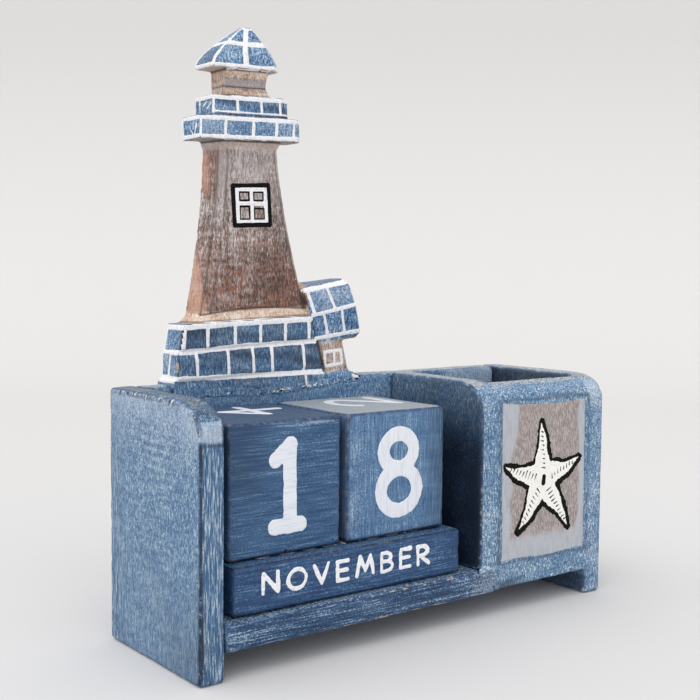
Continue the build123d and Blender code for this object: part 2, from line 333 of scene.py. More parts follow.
def paint_film(name, node, side, strokes, material, cell=0.35, lift=0.1, wobble=0.11, seed=3, marks=None):
    """A thin film of paint in the shape of brush strokes, laid on a worked surface. Marks gives the
    paint's shades from the places on the drawing plane."""
    right, up, out = (np.array(axis, float) for axis in SIDES[side])
    ends = np.array([point for points, *widths in strokes for point in points], float)
    margin = max(max(widths) for points, *widths in strokes) / 2 + 2 * cell
    low, high = ends.min(0) - margin, ends.max(0) + margin
    across = np.arange(low[0], high[0] + cell, cell)
    along = np.arange(low[1], high[1] + cell, cell)
    places = np.stack(np.meshgrid(across, along, indexing="ij"), -1)
    uneven = ripple(places, 3.5, seed) + 0.5 * ripple(places, 0.9, seed + 1)
    gap = stroke_gap(places, strokes) + wobble * uneven
    slope = np.stack(np.gradient(gap, cell), -1)
    slide = np.where(gap > 0, gap, 0)[..., None] * slope / np.maximum((slope**2).sum(-1), 0.25)[..., None]
    places = places - slide
    inside = gap < 0
    cells = inside[:-1, :-1] | inside[1:, :-1] | inside[1:, 1:] | inside[:-1, 1:]
    number = np.arange(gap.size).reshape(gap.shape)
    quads = np.stack((number[:-1, :-1], number[1:, :-1], number[1:, 1:], number[:-1, 1:]), -1)[cells]
    used, quads = np.unique(quads, return_inverse=True)
    quads = quads.reshape(-1, 4)
    flat, depth = places.reshape(-1, 2)[used], -gap.ravel()[used]
    tree = surfaces[node]
    top = np.zeros((len(flat), 3))
    turned = np.zeros((len(flat), 3))
    held = np.ones(len(flat), bool)
    for index, (u, v) in enumerate(flat):
        start = u * right + v * up + brush_distance * out
        spot, normal, _, _ = tree.ray_cast(Vector(start), Vector(-out))
        if spot is None or normal.dot(Vector(out)) < least_turned:
            held[index] = False
            continue
        top[index] = spot
        turned[index] = normal
    rise = lift * np.clip(depth / min(film_edge, 0.8 * depth.max()), 0, 1) ** 0.6 - edge_depth
    # Film isn't stretched over a ledge
    stretch = np.linalg.norm(np.ptp(top[quads], axis=1), axis=-1)
    quads = quads[held[quads].all(-1) & (stretch < 4 * cell + 0.5)]
    count = len(flat)
    points = np.concatenate((top + turned * rise[:, None], top - turned * back_depth))
    edges = np.concatenate([np.stack((quads[:, k], quads[:, (k + 1) % 4]), -1) for k in range(4)])
    key = edges[:, 0] * count + edges[:, 1]
    rim = edges[~np.isin(key, edges[:, 1] * count + edges[:, 0])]
    sides = np.stack((rim[:, 1], rim[:, 0], rim[:, 0] + count, rim[:, 1] + count), -1)
    faces = np.concatenate((quads, quads[:, ::-1] + count, sides))
    kept, faces = np.unique(faces, return_inverse=True)
    mesh = bpy.data.meshes.new(name)
    mesh.from_pydata((points[kept] * MM).tolist(), [], faces.reshape(-1, 4).tolist())
    shades = {"inset": depth, **(marks(flat) if marks else {})}
    store(mesh, **{shade: np.concatenate((values, values))[kept] for shade, values in shades.items()})
    shape = bmesh.new()
    shape.from_mesh(mesh)
    bmesh.ops.remove_doubles(shape, verts=shape.verts, dist=0.02 * MM)
    bmesh.ops.dissolve_degenerate(shape, edges=shape.edges, dist=0.01 * MM)
    shape.to_mesh(mesh)
    shape.free()
    mesh.shade_smooth()
    mesh.materials.append(material)
    piece = new_object(name, mesh)
    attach(piece, nodes[node]["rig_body"] if node in nodes else "case")


def arc(middle, reach, start, end, steps=14):
    """Points of an arc about a middle, from one angle to another, in degrees."""
    turns = [radians(start + (end - start) * step / steps) for step in range(steps + 1)]
    return [(middle[0] + reach[0] * cos(turn), middle[1] + reach[1] * sin(turn)) for turn in turns]


def blue_wash(add, where, colours, grain, weights, span, top_wash_and_sheen, edges):
    """Colour and thickness of blue acrylic brushed thin over wood and rubbed back: streaks along
    the grain, flecks where the pores stay bare, pale tops that are partly a painted sheen, and broken
    dark edges. The weights are those of the fibres, flecks, plane marks and clouds, and the span is
    how far they reach."""
    fibre_place = add("Mapping", {"Vector": where, "Scale": per_length(*grain)})
    fibre = add("TexNoise", {"Vector": fibre_place, "Scale": 1.0, "Detail": 3.0, "Roughness": 0.75})
    # Planing left faint ripples some 2.4 mm apart across the boards
    chatter_place = add("Mapping", {"Vector": where, "Scale": per_length(13.0, 13.0, 2.4)})
    chatter = add("TexNoise", {"Vector": chatter_place, "Scale": 1.0, "Detail": 2.0, "Distortion": 0.6})
    # Flecks are 0.6 mm across
    fleck = add("TexNoise", {"Vector": where, "Scale": 1 / (0.6 * MM), "Detail": 2.0, "Roughness": 0.6})
    cloud = add("TexNoise", {"Vector": where, "Scale": 1 / (16 * MM), "Detail": 3.0})
    cover = add("Math", {0: fibre, 1: weights[0]}, operation="MULTIPLY")
    for part, weight in zip((fleck, chatter, cloud), weights[1:]):
        cover = add("Math", {0: part, 1: weight, 2: cover}, operation="MULTIPLY_ADD")
    colour = add("ValToRGB", {"Fac": cover}, spread(colours, sum(weights) / 2, span))
    # The ends of the boards took the wash in long streaks
    streak_place = add("Mapping", {"Vector": where, "Scale": per_length(0.42, 0.42, 6.0)})
    streak = add("TexNoise", {"Vector": streak_place, "Scale": 1.0, "Detail": 3.0, "Roughness": 0.8})
    streak_blues = (colours[0], "#3E6388", "#5C7C99", "#B4C4D0")
    streaked = add("ValToRGB", {"Fac": streak}, spread(streak_blues, 0.5, 0.1))
    ends = add("Attribute", attribute_name="ends")
    colour = add("MixRGB", {"Fac": ends, "Color1": colour, "Color2": streaked})
    mottle = add("Math", {0: cloud, 1: 0.6, 2: fleck}, operation="MULTIPLY_ADD")
    for shade, low, high, tone in (("pale", 1.2, 2.0, "#BCC8D8"), ("shade", 1.05, 1.85, "#0F1C30")):
        amount = add("Math", {0: add("Attribute", attribute_name=shade), 1: mottle}, operation="ADD")
        colour = tinted(add, colour, amount, low, high, tone)
    # Tops take their own tones, a pale wash that is partly a painted sheen
    top_wash_and_sheen_colour = add("ValToRGB", {"Fac": fleck}, spread(top_wash_and_sheen, 0.5, 0.1))
    rim = add("Math", {0: add("Attribute", attribute_name="rim"), 1: mottle}, operation="ADD")
    colour = tinted(add, colour, rim, 1.25, 1.6, top_wash_and_sheen_colour)
    # Edges are darker, and rubbed bare in bits 2.2 mm long
    bit = add("TexNoise", {"Vector": where, "Scale": 1 / (2.2 * MM), "Detail": 3.0})
    edge_colour = add("ValToRGB", {"Fac": bit}, spread(edges, 0.5, 0.13))
    edge = add("Math", {0: add("Attribute", attribute_name="edge"), 1: fleck}, operation="ADD")
    return tinted(add, colour, edge, 1.1, 1.4, edge_colour, most=0.8), cover


board_edges = ("#122544", "#1B375E", "#2F5079", "#4A6C91", "#A9B2B9")
loose_edges = ("#101E36", "#1A3050", "#294466", "#3E5574", "#6F5F5C")


def painted_wood(name, colours, grain, weights, span, top_wash_and_sheen, edges=board_edges, specks=("#2A1A14", 0.8)):
    """Wood with thin blue acrylic, satin all over. The specks have a colour and the level of the noise
    where they start."""
    made, add, shader, where = new_finish(name, 0.55, 1.48)
    colour, cover = blue_wash(add, where, colours, grain, weights, span, top_wash_and_sheen, edges)
    # Bare specks of 1.2 mm
    speck = add("TexNoise", {"Vector": where, "Scale": 1 / (1.2 * MM), "Detail": 1.0})
    speck_colour, level = specks
    colour = tinted(add, colour, speck, level, level + 0.02, speck_colour)
    return close_finish(made, add, shader, colour, cover, 0.2)


def carved_wood(name):
    """The carving: stained wood with open grain where it is left bare, and blue acrylic on the
    bricks, galleries and roofs."""
    made, add, shader, where = new_finish(name, 0.6, 1.5)
    # Pores are 0.34 mm wide and 1.6 mm long, growth lines some 1.3 mm apart
    pore_place = add("Mapping", {"Vector": where, "Scale": per_length(0.34, 0.34, 1.6)})
    pore = add("TexNoise", {"Vector": pore_place, "Scale": 1.0, "Detail": 2.0, "Roughness": 0.7})
    line_place = add("Mapping", {"Vector": where, "Scale": per_length(1.3, 1.3, 26.0)})
    line = add("TexNoise", {"Vector": line_place, "Scale": 1.0, "Detail": 3.0})
    cloud = add("TexNoise", {"Vector": where, "Scale": 1 / (11 * MM), "Detail": 3.0})
    # Carving left ripples some 2.2 mm apart across the tower
    chatter_place = add("Mapping", {"Vector": where, "Scale": per_length(9.0, 9.0, 2.2)})
    chatter = add("TexNoise", {"Vector": chatter_place, "Scale": 1.0, "Detail": 2.0, "Distortion": 0.8})
    cover = add("Math", {0: pore, 1: 0.5}, operation="MULTIPLY")
    for part, weight in ((line, 0.2), (chatter, 0.18), (cloud, 0.12)):
        cover = add("Math", {0: part, 1: weight, 2: cover}, operation="MULTIPLY_ADD")
    stain = add("Attribute", attribute_name="stain")
    stained = add("Math", {0: stain, 1: -0.06, 2: cover}, operation="MULTIPLY_ADD")
    stained_browns = ("#453631", "#7A6A64", "#9A8D88", "#D2CBCA")
    bare_tans = ("#96705A", "#C8AA95", "#DAC7B8", "#EAE2DA")
    wood = add("ValToRGB", {"Fac": stained}, spread(stained_browns, 0.5, 0.08))
    tan = add("ValToRGB", {"Fac": cover}, spread(bare_tans, 0.5, 0.1))
    warm = add("Attribute", attribute_name="warm")
    wood = add("MixRGB", {"Fac": warm, "Color1": wood, "Color2": tan})
    # Reddish bits of 0.55 mm by 1.7 mm where the stain missed the grain
    bit_place = add("Mapping", {"Vector": where, "Scale": per_length(0.55, 0.55, 1.7)})
    bit = add("TexNoise", {"Vector": bit_place, "Scale": 1.0, "Detail": 2.0})
    redness = add("Attribute", attribute_name="red")
    red = add("Math", {0: cloud, 1: 0.3, 2: bit}, operation="MULTIPLY_ADD")
    red = add("Math", {0: redness, 1: 0.25, 2: red}, operation="MULTIPLY_ADD")
    wood = tinted(add, wood, red, 0.8, 1.02, "#A8674A", most=0.55)
    # Grey wash, with a painted highlight down the tower's left bevel
    wash = add("Attribute", attribute_name="wash")
    wash = add("Math", {0: pore, 1: 0.8, 2: wash}, operation="MULTIPLY_ADD")
    wood = tinted(add, wood, wash, 0.5, 1.5, "#B1A9A9")
    blues = ("#183A65", "#416995", "#6B91B4", "#C0D1DE")
    grain, weights = (0.45, 0.45, 2.2), (0.5, 0.3, 0.1, 0.1)
    acrylic, _ = blue_wash(
        add, where, blues, grain, weights, span=0.085, top_wash_and_sheen=blues[1:], edges=board_edges
    )
    blue = add("Attribute", attribute_name="blue")
    colour = add("MixRGB", {"Fac": blue, "Color1": wood, "Color2": acrylic})
    # Creases go dark brown, partly stain and partly painted shade
    crease = add("Attribute", attribute_name="crease")
    crease = add("Math", {0: pore, 1: 0.4, 2: crease}, operation="MULTIPLY_ADD")
    colour = tinted(add, colour, crease, 0.35, 1.1, "#2B221F", most=0.9)
    return close_finish(made, add, shader, colour, cover, 0.22)


def line_paint(name, body, thin, grain=(1.0, 1.0, 1.0), centre=None, roughness=0.5, ior=1.48):
    """Acrylic laid on by a small brush: nearly opaque, with faint streaks where it is thin. The
    centre is a second tone that the mesh's own shade brings in."""
    made, add, shader, where = new_finish(name, roughness, ior)
    mark_place = add("Mapping", {"Vector": where, "Scale": per_length(*grain)})
    mark = add("TexNoise", {"Vector": mark_place, "Scale": 1.0, "Detail": 3.0, "Roughness": 0.7})
    colour = add("ValToRGB", {"Fac": mark}, spread((thin, body), 0.44, 0.08))
    if centre:
        # Brush hairs leave lines 0.3 mm wide and ragged ends
        hair_place = add("Mapping", {"Vector": where, "Scale": per_length(0.32, 0.32, 1.5)})
        hair = add("TexNoise", {"Vector": hair_place, "Scale": 1.0, "Detail": 3.0, "Roughness": 0.7})
        brushed = add("ValToRGB", {"Fac": hair}, spread(centre, 0.5, 0.12))
        amount = add("Attribute", attribute_name="centre")
        amount = add("Math", {0: hair, 1: 1.4, 2: amount}, operation="MULTIPLY_ADD")
        colour = tinted(add, colour, amount, 0.85, 1.6, brushed)
    return close_finish(made, add, shader, colour, mark, 0.05)


# Finishes of the boards and loose pieces
upright_grain = (0.4, 0.4, 1.7)
long_grain = (0.45, 0.45, 9.0)
level_grain = (14.0, 0.42, 0.42)
fine_weights = (0.5, 0.3, 0.12, 0.08)
# Tones of the tops: a pale wash that is partly a painted sheen
panel_top_wash_and_sheen = ("#17304D", "#3A526C", "#687787", "#A2A7AB")
grey_top_wash_and_sheen = ("#62748A", "#86909B", "#A1A6AA", "#C2C4C4")
washed = ("#2C537E", "#507498", "#6D8DAA", "#B4C7D5")
coarse_weights = (0.52, 0.33, 0.09, 0.06)
panel_paint = painted_wood(
    "panel_washed_acrylic", washed, upright_grain, coarse_weights, span=0.09, top_wash_and_sheen=panel_top_wash_and_sheen
)
speckled = ("#244A74", "#50779B", "#7493AE", "#D9E1E6")
speckle_weights = (0.52, 0.32, 0.08, 0.08)
pen_paint = painted_wood(
    "pen_box_washed_acrylic", speckled, (0.4, 0.4, 1.5), speckle_weights, span=0.095, top_wash_and_sheen=grey_top_wash_and_sheen
)
dark_blues = ("#1D3F68", "#456A92", "#6688AA", "#B2C4D3")
back_paint = painted_wood(
    "back_board_dark_acrylic", dark_blues, upright_grain, fine_weights, span=0.1, top_wash_and_sheen=grey_top_wash_and_sheen
)
shelf_blues = ("#0B213F", "#1F3E63", "#375B80", "#A6B9C9")
base_paint = painted_wood(
    "base_board_brushed_acrylic", shelf_blues, level_grain, fine_weights,
    span=0.1, top_wash_and_sheen=shelf_blues[1:],
)
bar_blues = ("#132E50", "#1F406A", "#2B527D", "#6E8DAB")
bar_paint = painted_wood(
    "month_bar_acrylic", bar_blues, level_grain, fine_weights,
    span=0.12, top_wash_and_sheen=bar_blues[1:], edges=loose_edges,
)
tens_blues = ("#16345A", "#284C74", "#3B6187", "#7F9AB4")
tens_tops = ("#223C5C", "#364F6E", "#526780")
tens_paint = painted_wood(
    "tens_cube_acrylic", tens_blues, level_grain, fine_weights,
    span=0.13, top_wash_and_sheen=tens_tops, edges=loose_edges, specks=("#B0764F", 0.79),
)
units_blues = ("#2B4D73", "#456990", "#5D80A5", "#9BB1C6")
units_tops = ("#7A8CA2", "#98A3AE", "#AFAA9F")
units_paint = painted_wood(
    "units_cube_acrylic", units_blues, long_grain, fine_weights,
    span=0.12, top_wash_and_sheen=units_tops, edges=loose_edges, specks=("#B98A5E", 0.79),
)
carving_paint = carved_wood("carved_stained_wood")
white_paint = line_paint("white_line_acrylic", "#F3F2F4", "#DCDDE3")
number_paints = {
    "tens_cube": line_paint("tens_number_acrylic", "#E6E8EF", "#D3D9E4", (7.0, 0.45, 0.45)),
    "units_cube": line_paint("units_number_acrylic", "#E6E8EF", "#D0D6E1", (0.45, 0.45, 7.0)),
}
black_paint = line_paint("black_line_acrylic", "#080706", "#161412", roughness=0.8, ior=1.25)
navy_paint = line_paint("edge_navy_acrylic", "#16325A", "#0F2444")
chalk_paint = line_paint("chalky_white_acrylic", "#DADCDD", "#B9BDBF")
tan_paint = line_paint("bare_wood_flecks", "#C9AF92", "#8F6F55")
star_paint = line_paint("starfish_white_acrylic", "#F6F4EF", "#E9E7E2")
patch_browns = ("#74686A", "#948986", "#A69B97", "#C0B8B5")
patch_paint = line_paint("patch_lilac_acrylic", "#B4B7BE", "#A5A9B2", (0.8, 0.8, 4.0), patch_browns)


def patch_frame(x, z):
    """Share of the dark strokes that run round the painted patch."""
    drift = 0.5 * ripple(np.stack((x, z), -1), 8, 65)
    sides = np.maximum(line_glow(x + drift, 31.2, 1.4), 0.9 * line_glow(x + drift, 74.7, 0.9))
    ends = np.maximum(line_glow(z + drift, 71.7, 0.9), line_glow(z + drift, 16.9, 0.8))
    sides *= band(z, 13, 16, 71, 74)
    ends *= band(x, 28, 31, 74, 77)
    return np.maximum(sides, ends)


# Run back and fall down of the boards' worked top corners
corner_run, pen_corner_run, corner_fall = 15, 12, 8.5


def corner_share(y):
    """How far round the left panel's worked corner a depth lies, from 0 to nearly 1."""
    return np.clip((front_y + corner_run - y) / corner_run, 0, 0.97)


def left_panel_marks(points, normals):
    """Paler towards the top, and on the worked front corner a pale band, partly a painted highlight,
    between two dark bands.
    """
    x, y, z = points.T
    faces_out = facing(normals, "left")
    faces_front = facing(normals, "front", 0.2, 0.6)
    uneven_z = z + 0.3 * ripple(points, 4, 61)
    pale = 0.7 * rising(z, 45, 78) * faces_out
    # On the worked front corner, a pale band that is partly a painted highlight
    pale += 0.8 * faces_front * band(uneven_z, 66.9, 67.5, 72.8, 73.4)
    bands = line_glow(uneven_z, 66.7, 0.6) + 0.8 * line_glow(uneven_z, 74.3, 0.7)
    outer_line = line_glow(x, panel_low[0] + 0.7, 0.6) * falling(uneven_z, 66, 68)
    shade = faces_front * np.maximum(0.75 * bands, 1.2 * outer_line)
    # Painted shade on the inner face inside the tray, deeper below its top strip
    shade += facing(normals, "right", 0.5, 0.9) * (0.3 + 0.6 * falling(z, 66, 72))
    shade += faces_out * falling(z, 5, 50) * (0.15 + 0.3 * falling(y, -25, 10))
    shade += faces_front * 0.35 * falling(z, 8, 32)
    shade += 0.9 * line_glow(x, panel_high[0] - 0.4, 0.6) * rising(z, 62, 68)
    # Dark paint gathered under the upper edge and down round the worked corner
    bend = corner_share(y)
    level = np.sqrt(1 - bend**2)
    steep = corner_fall * bend / (corner_run * level)
    under_edge = (panel_high[2] - corner_fall * (1 - level) - z) / np.sqrt(1 + steep**2)
    shade += 0.65 * faces_out * line_glow(under_edge, 1.4, 0.6) * rising(ripple(points, 1.8, 68), -0.8, 0.2)
    # The top's pale wash and painted sheen come in spots, where it is rubbed
    rim = facing(normals, "top", 0.78, 0.95) * (0.6 + 0.4 * np.clip(ripple(points, 2.5, 69), -1, 1))
    # The plane left ripples 2.6 mm apart up the middle of the board
    middle = faces_out * line_glow(y, -6, 13) * band(z, 18, 34, 60, 74)
    wave = np.sin(2 * pi * (z + 0.6 * ripple(points * (0, 1, 0.4), 11, 66)) / 2.6)
    pale += 0.45 * middle * np.clip(wave, 0, 1)
    shade += 0.4 * middle * np.clip(-wave, 0, 1) + 0.6 * (rim > 0)
    # Long streaks run along the back edge and the foot
    streaks = faces_out * (0.7 * rising(y, 8, 27) + 0.35 * falling(z, 15, 42))
    return {"pale": pale, "shade": shade, "ends": np.maximum(faces_front, streaks), "rim": rim}


def beside_pen_front(y):
    """Share of the depths along the pen box's front panel, where its neighbours are joined to it."""
    return falling(y, pen_front_back - 0.5, pen_front_back + 0.5)


def divider_marks(points, normals):
    """The tray side is nearly black below a strip of blue, partly a dark stain and partly a painted shadow
    of the cubes.
    """
    x, y, z = points.T
    faces_front = facing(normals, "front", 0.4, 0.8)
    # Painted shadow of the cubes on the tray side, partly a dark stain
    shade = 0.7 + 0.38 * falling(z, 52, 75) - 0.15 * rising(y, -8, 8)
    shade *= facing(normals, "left", 0.4, 0.8)
    shade += 0.5 * faces_front * patch_frame(x, z)
    # The dark runs a little way round on to the front face, beside the edge
    shade += 0.7 * line_glow(x, 23.0, 0.6) * faces_front * falling(z, 66, 70)
    joined = rising(x, 29.0, 29.8) * beside_pen_front(y)
    return {"shade": shade, "pale": 0.15 * faces_front, "joined": joined}


def base_board_marks(points, normals):
    """The pen box's paler paint runs a little way along the front."""
    return {"pale": 0.6 * rising(points[:, 0], 0, 27) * facing(normals, "front", 0.4, 0.8)}


def pen_front_marks(points, normals):
    """Pale along the rounded top, partly a painted highlight, with dark strokes round the patch. The inside
    carries painted shade.
    """
    x, _, z = points.T
    uneven_z = z + 0.5 * ripple(points, 7, 62)
    # The base board's dark strokes run on to the lower left
    foot_stroke = 1.1 * falling(uneven_z, 10.6, 12.6) * falling(x, 34, 52)
    strokes = np.maximum(patch_frame(x, z), foot_stroke) * facing(normals, "front", 0.3, 0.7)
    # The rounded top is pale, partly a painted highlight, and the inside carries painted shade
    return {
        "pale": 0.4 * rising(uneven_z, 72.5, 75) + 0.2 * falling(uneven_z, 11, 15),
        "shade": 0.65 * strokes + 0.15 * facing(normals, "back", 0.5, 0.9),
        "joined": np.maximum(falling(x, 31.8, 32.6), rising(x, 72.4, 73.2)),
    }


def right_panel_marks(points, normals):
    """Paler towards the top front corner, partly a painted highlight, and painted shade on the inner
    face, deepest inside the pen box and at the foot.
    """
    x, y, z = points.T
    faces_box = facing(normals, "left")
    faces_front = facing(normals, "front", 0.4, 0.8)
    pale = 0.45 * rising(z, 62, 78) + 0.45 * faces_front
    pale += 0.35 * faces_box * line_glow(y, -4, 9) * rising(z, 62, 70)
    # Painted shade on the inner face, deepest inside the pen box and at the foot
    shade = 0.8 * np.maximum(falling(z, 6, 10), 0.8 * rising(y, -21, -19)) + 0.25 * rising(z, 40, 60)
    return {
        "pale": pale,
        "shade": shade * faces_box + 0.4 * faces_front * patch_frame(x, z),
        "ends": 0.5 * facing(normals, "right"),
        "joined": falling(x, 75.0, 75.8) * rising(z, 8.5, 9.5) * beside_pen_front(y),
    }


def below_lighthouse(x):
    """Share of the darkening on the back board, which fades to the right of the lighthouse."""
    return falling(x, -20, 12)


def back_board_marks(points, normals):
    """A rubbed pale patch inside the pen box, and darker towards the top under the lighthouse."""
    x, _, z = points.T
    faces_front = facing(normals, "front")
    pale = 0.65 * faces_front * rising(x, 40, 52) * rising(z, 60, 72)
    return {"pale": pale, "shade": 0.35 * faces_front * below_lighthouse(x) * rising(z, 66, 71)}


def seam_marks(places):
    """The filler of the carving's seam is as dark as the board round it."""
    return {"shade": 0.3 * below_lighthouse(places[:, 0])}


def painted_gap_shade(z):
    """Painted shade along a loose piece's lower edge, where the gap below it is dark."""
    return 1.1 * falling(z, z.min() + 0.5, z.min() + 1.1)


def tens_cube_marks(points, normals):
    """A pale smear where the top right edge of the front was rubbed."""
    x, _, z = points.T
    smear_middle, smear_reach = (-36.5, front_y + 7.2, 69.3), (9.5, 4, 0.9)
    smear = np.exp(-(((points - smear_middle) / smear_reach) ** 2).sum(-1))
    # Darker towards the upper left, and painted shade on the right face, in the gap beside the units cube
    shade = 0.42 * falling(x, -62, -44) * rising(z, 34, 56) + 0.4 * facing(normals, "right", 0.6, 0.9)
    return {"pale": 0.9 * smear * facing(normals, "front", 0.3, 0.7), "shade": 1.2 * shade + painted_gap_shade(z)}


def units_cube_marks(points, normals):
    """Paler towards the left and darker towards the right."""
    x, _, z = points.T
    # Darker towards the right, and painted shade on the left face, in the gap beside the tens cube
    shade = 0.35 * rising(x, -2, 11) + 0.4 * facing(normals, "left", 0.6, 0.9)
    return {"pale": 0.4 * falling(x, -24, -8), "shade": 1.5 * shade + painted_gap_shade(z)}


def month_bar_marks(points, normals):
    """Painted shade along the top edges, where the cubes stand on them."""
    z = points[:, 2]
    return {"shade": 1.1 * rising(z, z.max() - 0.9, z.max() - 0.4)}


def own_lines(points, foot_x, turn):
    """Distance across and up a part of the carving from its foot, along its own tilted lines."""
    x, z = points[:, 0] - foot_x, points[:, 2] - foot_z
    return x * cos(turn) + z * sin(turn), z * cos(turn) - x * sin(turn)


def carving_marks(points, normals):
    """Where the carving is blue, tan, reddish, washed grey or creased. Places are u across and t
    up the tower's own lines, or the house's."""
    u, t = own_lines(points, tower_x, tower_lean)
    house_u, house_t = own_lines(points, house_x, house_tilt)
    faces_front, faces_left = facing(normals, "front", 0.2, 0.5), facing(normals, "left")
    faces_down = facing(normals, "bottom", 0.4, 0.7)
    house = rising(u, 26.9 - 0.29 * t, 27.3 - 0.29 * t) * (t < 40)
    base = (t < 19.4) * (1 - house)
    base_end = faces_left * (t < 19)
    shaft = (t > 22) & (t < 74)
    lower_gallery = (t > 76) & (t < 84.6)
    upper_gallery = (t > 84.6) & (t < 91)
    neck = (t > 91) & (t < 99)
    roof = t > 99

    # Blue are the base, the galleries, the roof, and the house's roof and foot
    cap = band(house_t, 11.2, 11.8, 32.1, 32.4)
    cap *= rising(house_u + 0.2 * house_t, -6.0, -5.6)
    cap *= np.maximum(points[:, 1] < board_front + 0.7, u > 20.8)
    blue = falling(t, 19.2, 19.6) + band(t, 76.3, 76.7, 90.8, 91.2) + rising(t, 98.8, 99.1)
    blue = np.where(house > 0.5, np.maximum(cap, falling(house_t, 0.8, 1.2)), np.maximum(blue, cap))
    blue *= 1 - faces_down * (t > 70)

    # Dark lines in the corners of the shaft and under each ledge, partly stain and partly painted shade
    flare = np.clip((74.4 - t) / 52.2, 0, 1) ** 1.5
    left, right = -10.6 - 8.4 * flare, 12.5 + 9.6 * flare
    crease = 0.6 * line_glow(u, left + 2.6, 0.5) + 0.85 * line_glow(u, right - 2.4, 0.4)
    crease = shaft * (faces_front * crease + 0.6 * line_glow(u, left + 0.2, 0.35))
    crease += line_glow(t, 22.9 - 0.003 * (u - 1) ** 2, 0.35) * (1 - house) * faces_front
    for ledge, strength in ((19.7, 0.7), (76.3, 1.0), (84.6, 1.0), (91.1, 0.9), (98.8, 1.0), (93.9, 0.9)):
        crease += strength * line_glow(t, ledge, 0.3) * (1 - house)

    # Tan where the stain was rubbed off: round the ledges, on the left corner, and on the house
    patches = rising(ripple(points * (1, 1, 0.35), 5, 71), 0.1, 0.6)
    warm = band(t, 19.2, 19.5, 22.4, 22.9)
    warm += 0.7 * band(t, 73.6, 74.2, 76.2, 76.6)
    warm += 0.6 * band(t, 90.8, 91.2, 93, 94) + band(t, 96.2, 96.9, 99, 99.2)
    warm += faces_left * (0.8 * shaft * patches + 0.75 * neck) + 0.9 * faces_down * (t > 97)
    red = shaft * (0.2 + 0.7 * falling(t, 30, 62) + faces_left * (1.1 * patches + 0.8 * rising(t, 50, 66)))
    stain = 0.6 * rising(u, -4, 10) * falling(t, 40, 66) + 0.9 * falling(t, 30, 46) - 0.2
    stain += 0.7 * faces_left * ripple(points * (1, 1, 0.3), 4, 72)

    # Grey wash towards the top of the shaft and on the neck, and a painted highlight down the left bevel
    wash = 0.5 * rising(t, 40, 70) + 0.25 * line_glow(u, left + 1.3, 1.1) * rising(t, 46, 66)
    wash = faces_front * (wash * shaft + 0.8 * band(t, 93.4, 94.0, 95.8, 96.8))
    wash += 0.5 * band(t, 73.6, 74.2, 76, 76.4)

    # The bricks were brushed along in uneven strokes
    strokes = np.clip(ripple(points * (0.3, 0.5, 1.5), 3.2, 73), -1, 1)
    pale = faces_front * (0.4 * roof + lower_gallery * (0.5 + 0.12 * falling(u, -10, -8)))
    # The house cap is paler, its upper course most: painted light where that course faces up
    pale += 0.5 * base_end + cap * (0.2 + 0.4 * rising(house_t, 20, 23))
    shade = base * (0.6 * (1 - faces_left) + 0.2 * strokes) + base_end * line_glow(points[:, 1], 18.4, 0.9)
    shade += 0.4 * (lower_gallery | upper_gallery) * strokes + 0.3 * upper_gallery * faces_front
    # The roof's left faces are darker, and painted shade lies over the left of the house cap's lower course
    shade += 0.5 * roof * faces_left + 0.35 * cap * falling(house_u, -8, 2) * falling(house_t, 20, 22)
    # Painted shade under the house cap, and a darker top
    shade += 0.5 * cap * rising(np.abs(normals[:, 2]), 0.4, 0.7)
    return {
        "blue": np.clip(blue, 0, 1),
        "warm": np.clip(np.maximum(warm, house * 0.5), 0, 1),
        "red": red,
        "wash": wash,
        "stain": shaft * stain,
        "pale": pale,
        "shade": shade,
        "crease": np.clip(crease, 0, 1),
        "rim": np.zeros(len(t)),
    }


# Boards and loose pieces, each with the size of the cells that its surface is remade from
worked_wood("left_side_panel", 0.75, panel_paint, left_panel_marks, seed=11)
worked_wood("right_side_panel", 0.75, pen_paint, right_panel_marks, seed=12)
worked_wood("divider_panel", 0.75, pen_paint, divider_marks, seed=13)
worked_wood("pen_box_front_panel", 0.75, pen_paint, pen_front_marks, sunk=0.16, seed=14)
worked_wood("base_board", 1.0, base_paint, base_board_marks, seed=15)
worked_wood("back_board", 1.0, back_paint, back_board_marks, seed=16)
worked_wood("tens_cube", 0.8, tens_paint, tens_cube_marks, seed=17)
worked_wood("units_cube", 0.8, units_paint, units_cube_marks, seed=18)
for bar_name in ("rear_month_bar", "middle_month_bar", "front_month_bar"):
    worked_wood(bar_name, 0.8, bar_paint, month_bar_marks, waviness=0.05, seed=19)
worked_wood("lighthouse_carving", 0.45, carving_paint, carving_marks, waviness=0.06, seed=20)

# Numbers, as strokes in a cell one wide and one high about its middle
DIGITS = {
    "0": [arc((0, 0), (0.5, 0.5), 90, 450, 24)],
    "1": [[(-0.31, 0.3), (0.05, 0.47)], [(0.03, 0.47), (0.03, -0.46)], [(-0.33, -0.5), (0.28, -0.5)]],
    "2": [arc((0, 0.22), (0.46, 0.28), 165, -35) + [(-0.48, -0.5), (0.5, -0.5)]],
    "3": [arc((-0.04, 0.25), (0.42, 0.25), 150, -90), arc((-0.04, -0.24), (0.5, 0.26), 90, -150)],
    "4": [[(0.5, 0.0), (-0.5, 0.0), (0.05, 0.5), (0.05, -0.5)]],
    "5": [[(0.42, 0.5), (-0.36, 0.5), (-0.42, 0.1)] + arc((-0.02, -0.18), (0.48, 0.32), 135, -150)],
    "6": [arc((0, -0.2), (0.46, 0.3), 0, 360, 20), arc((0.42, -0.2), (0.88, 0.7), 105, 180)],
    "7": [[(-0.48, 0.5), (0.48, 0.5), (-0.12, -0.5)]],
    "8": [arc((-0.02, 0.27), (0.41, 0.22), 90, 450, 20), arc((0, -0.23), (0.49, 0.27), 90, 450, 20)],
}


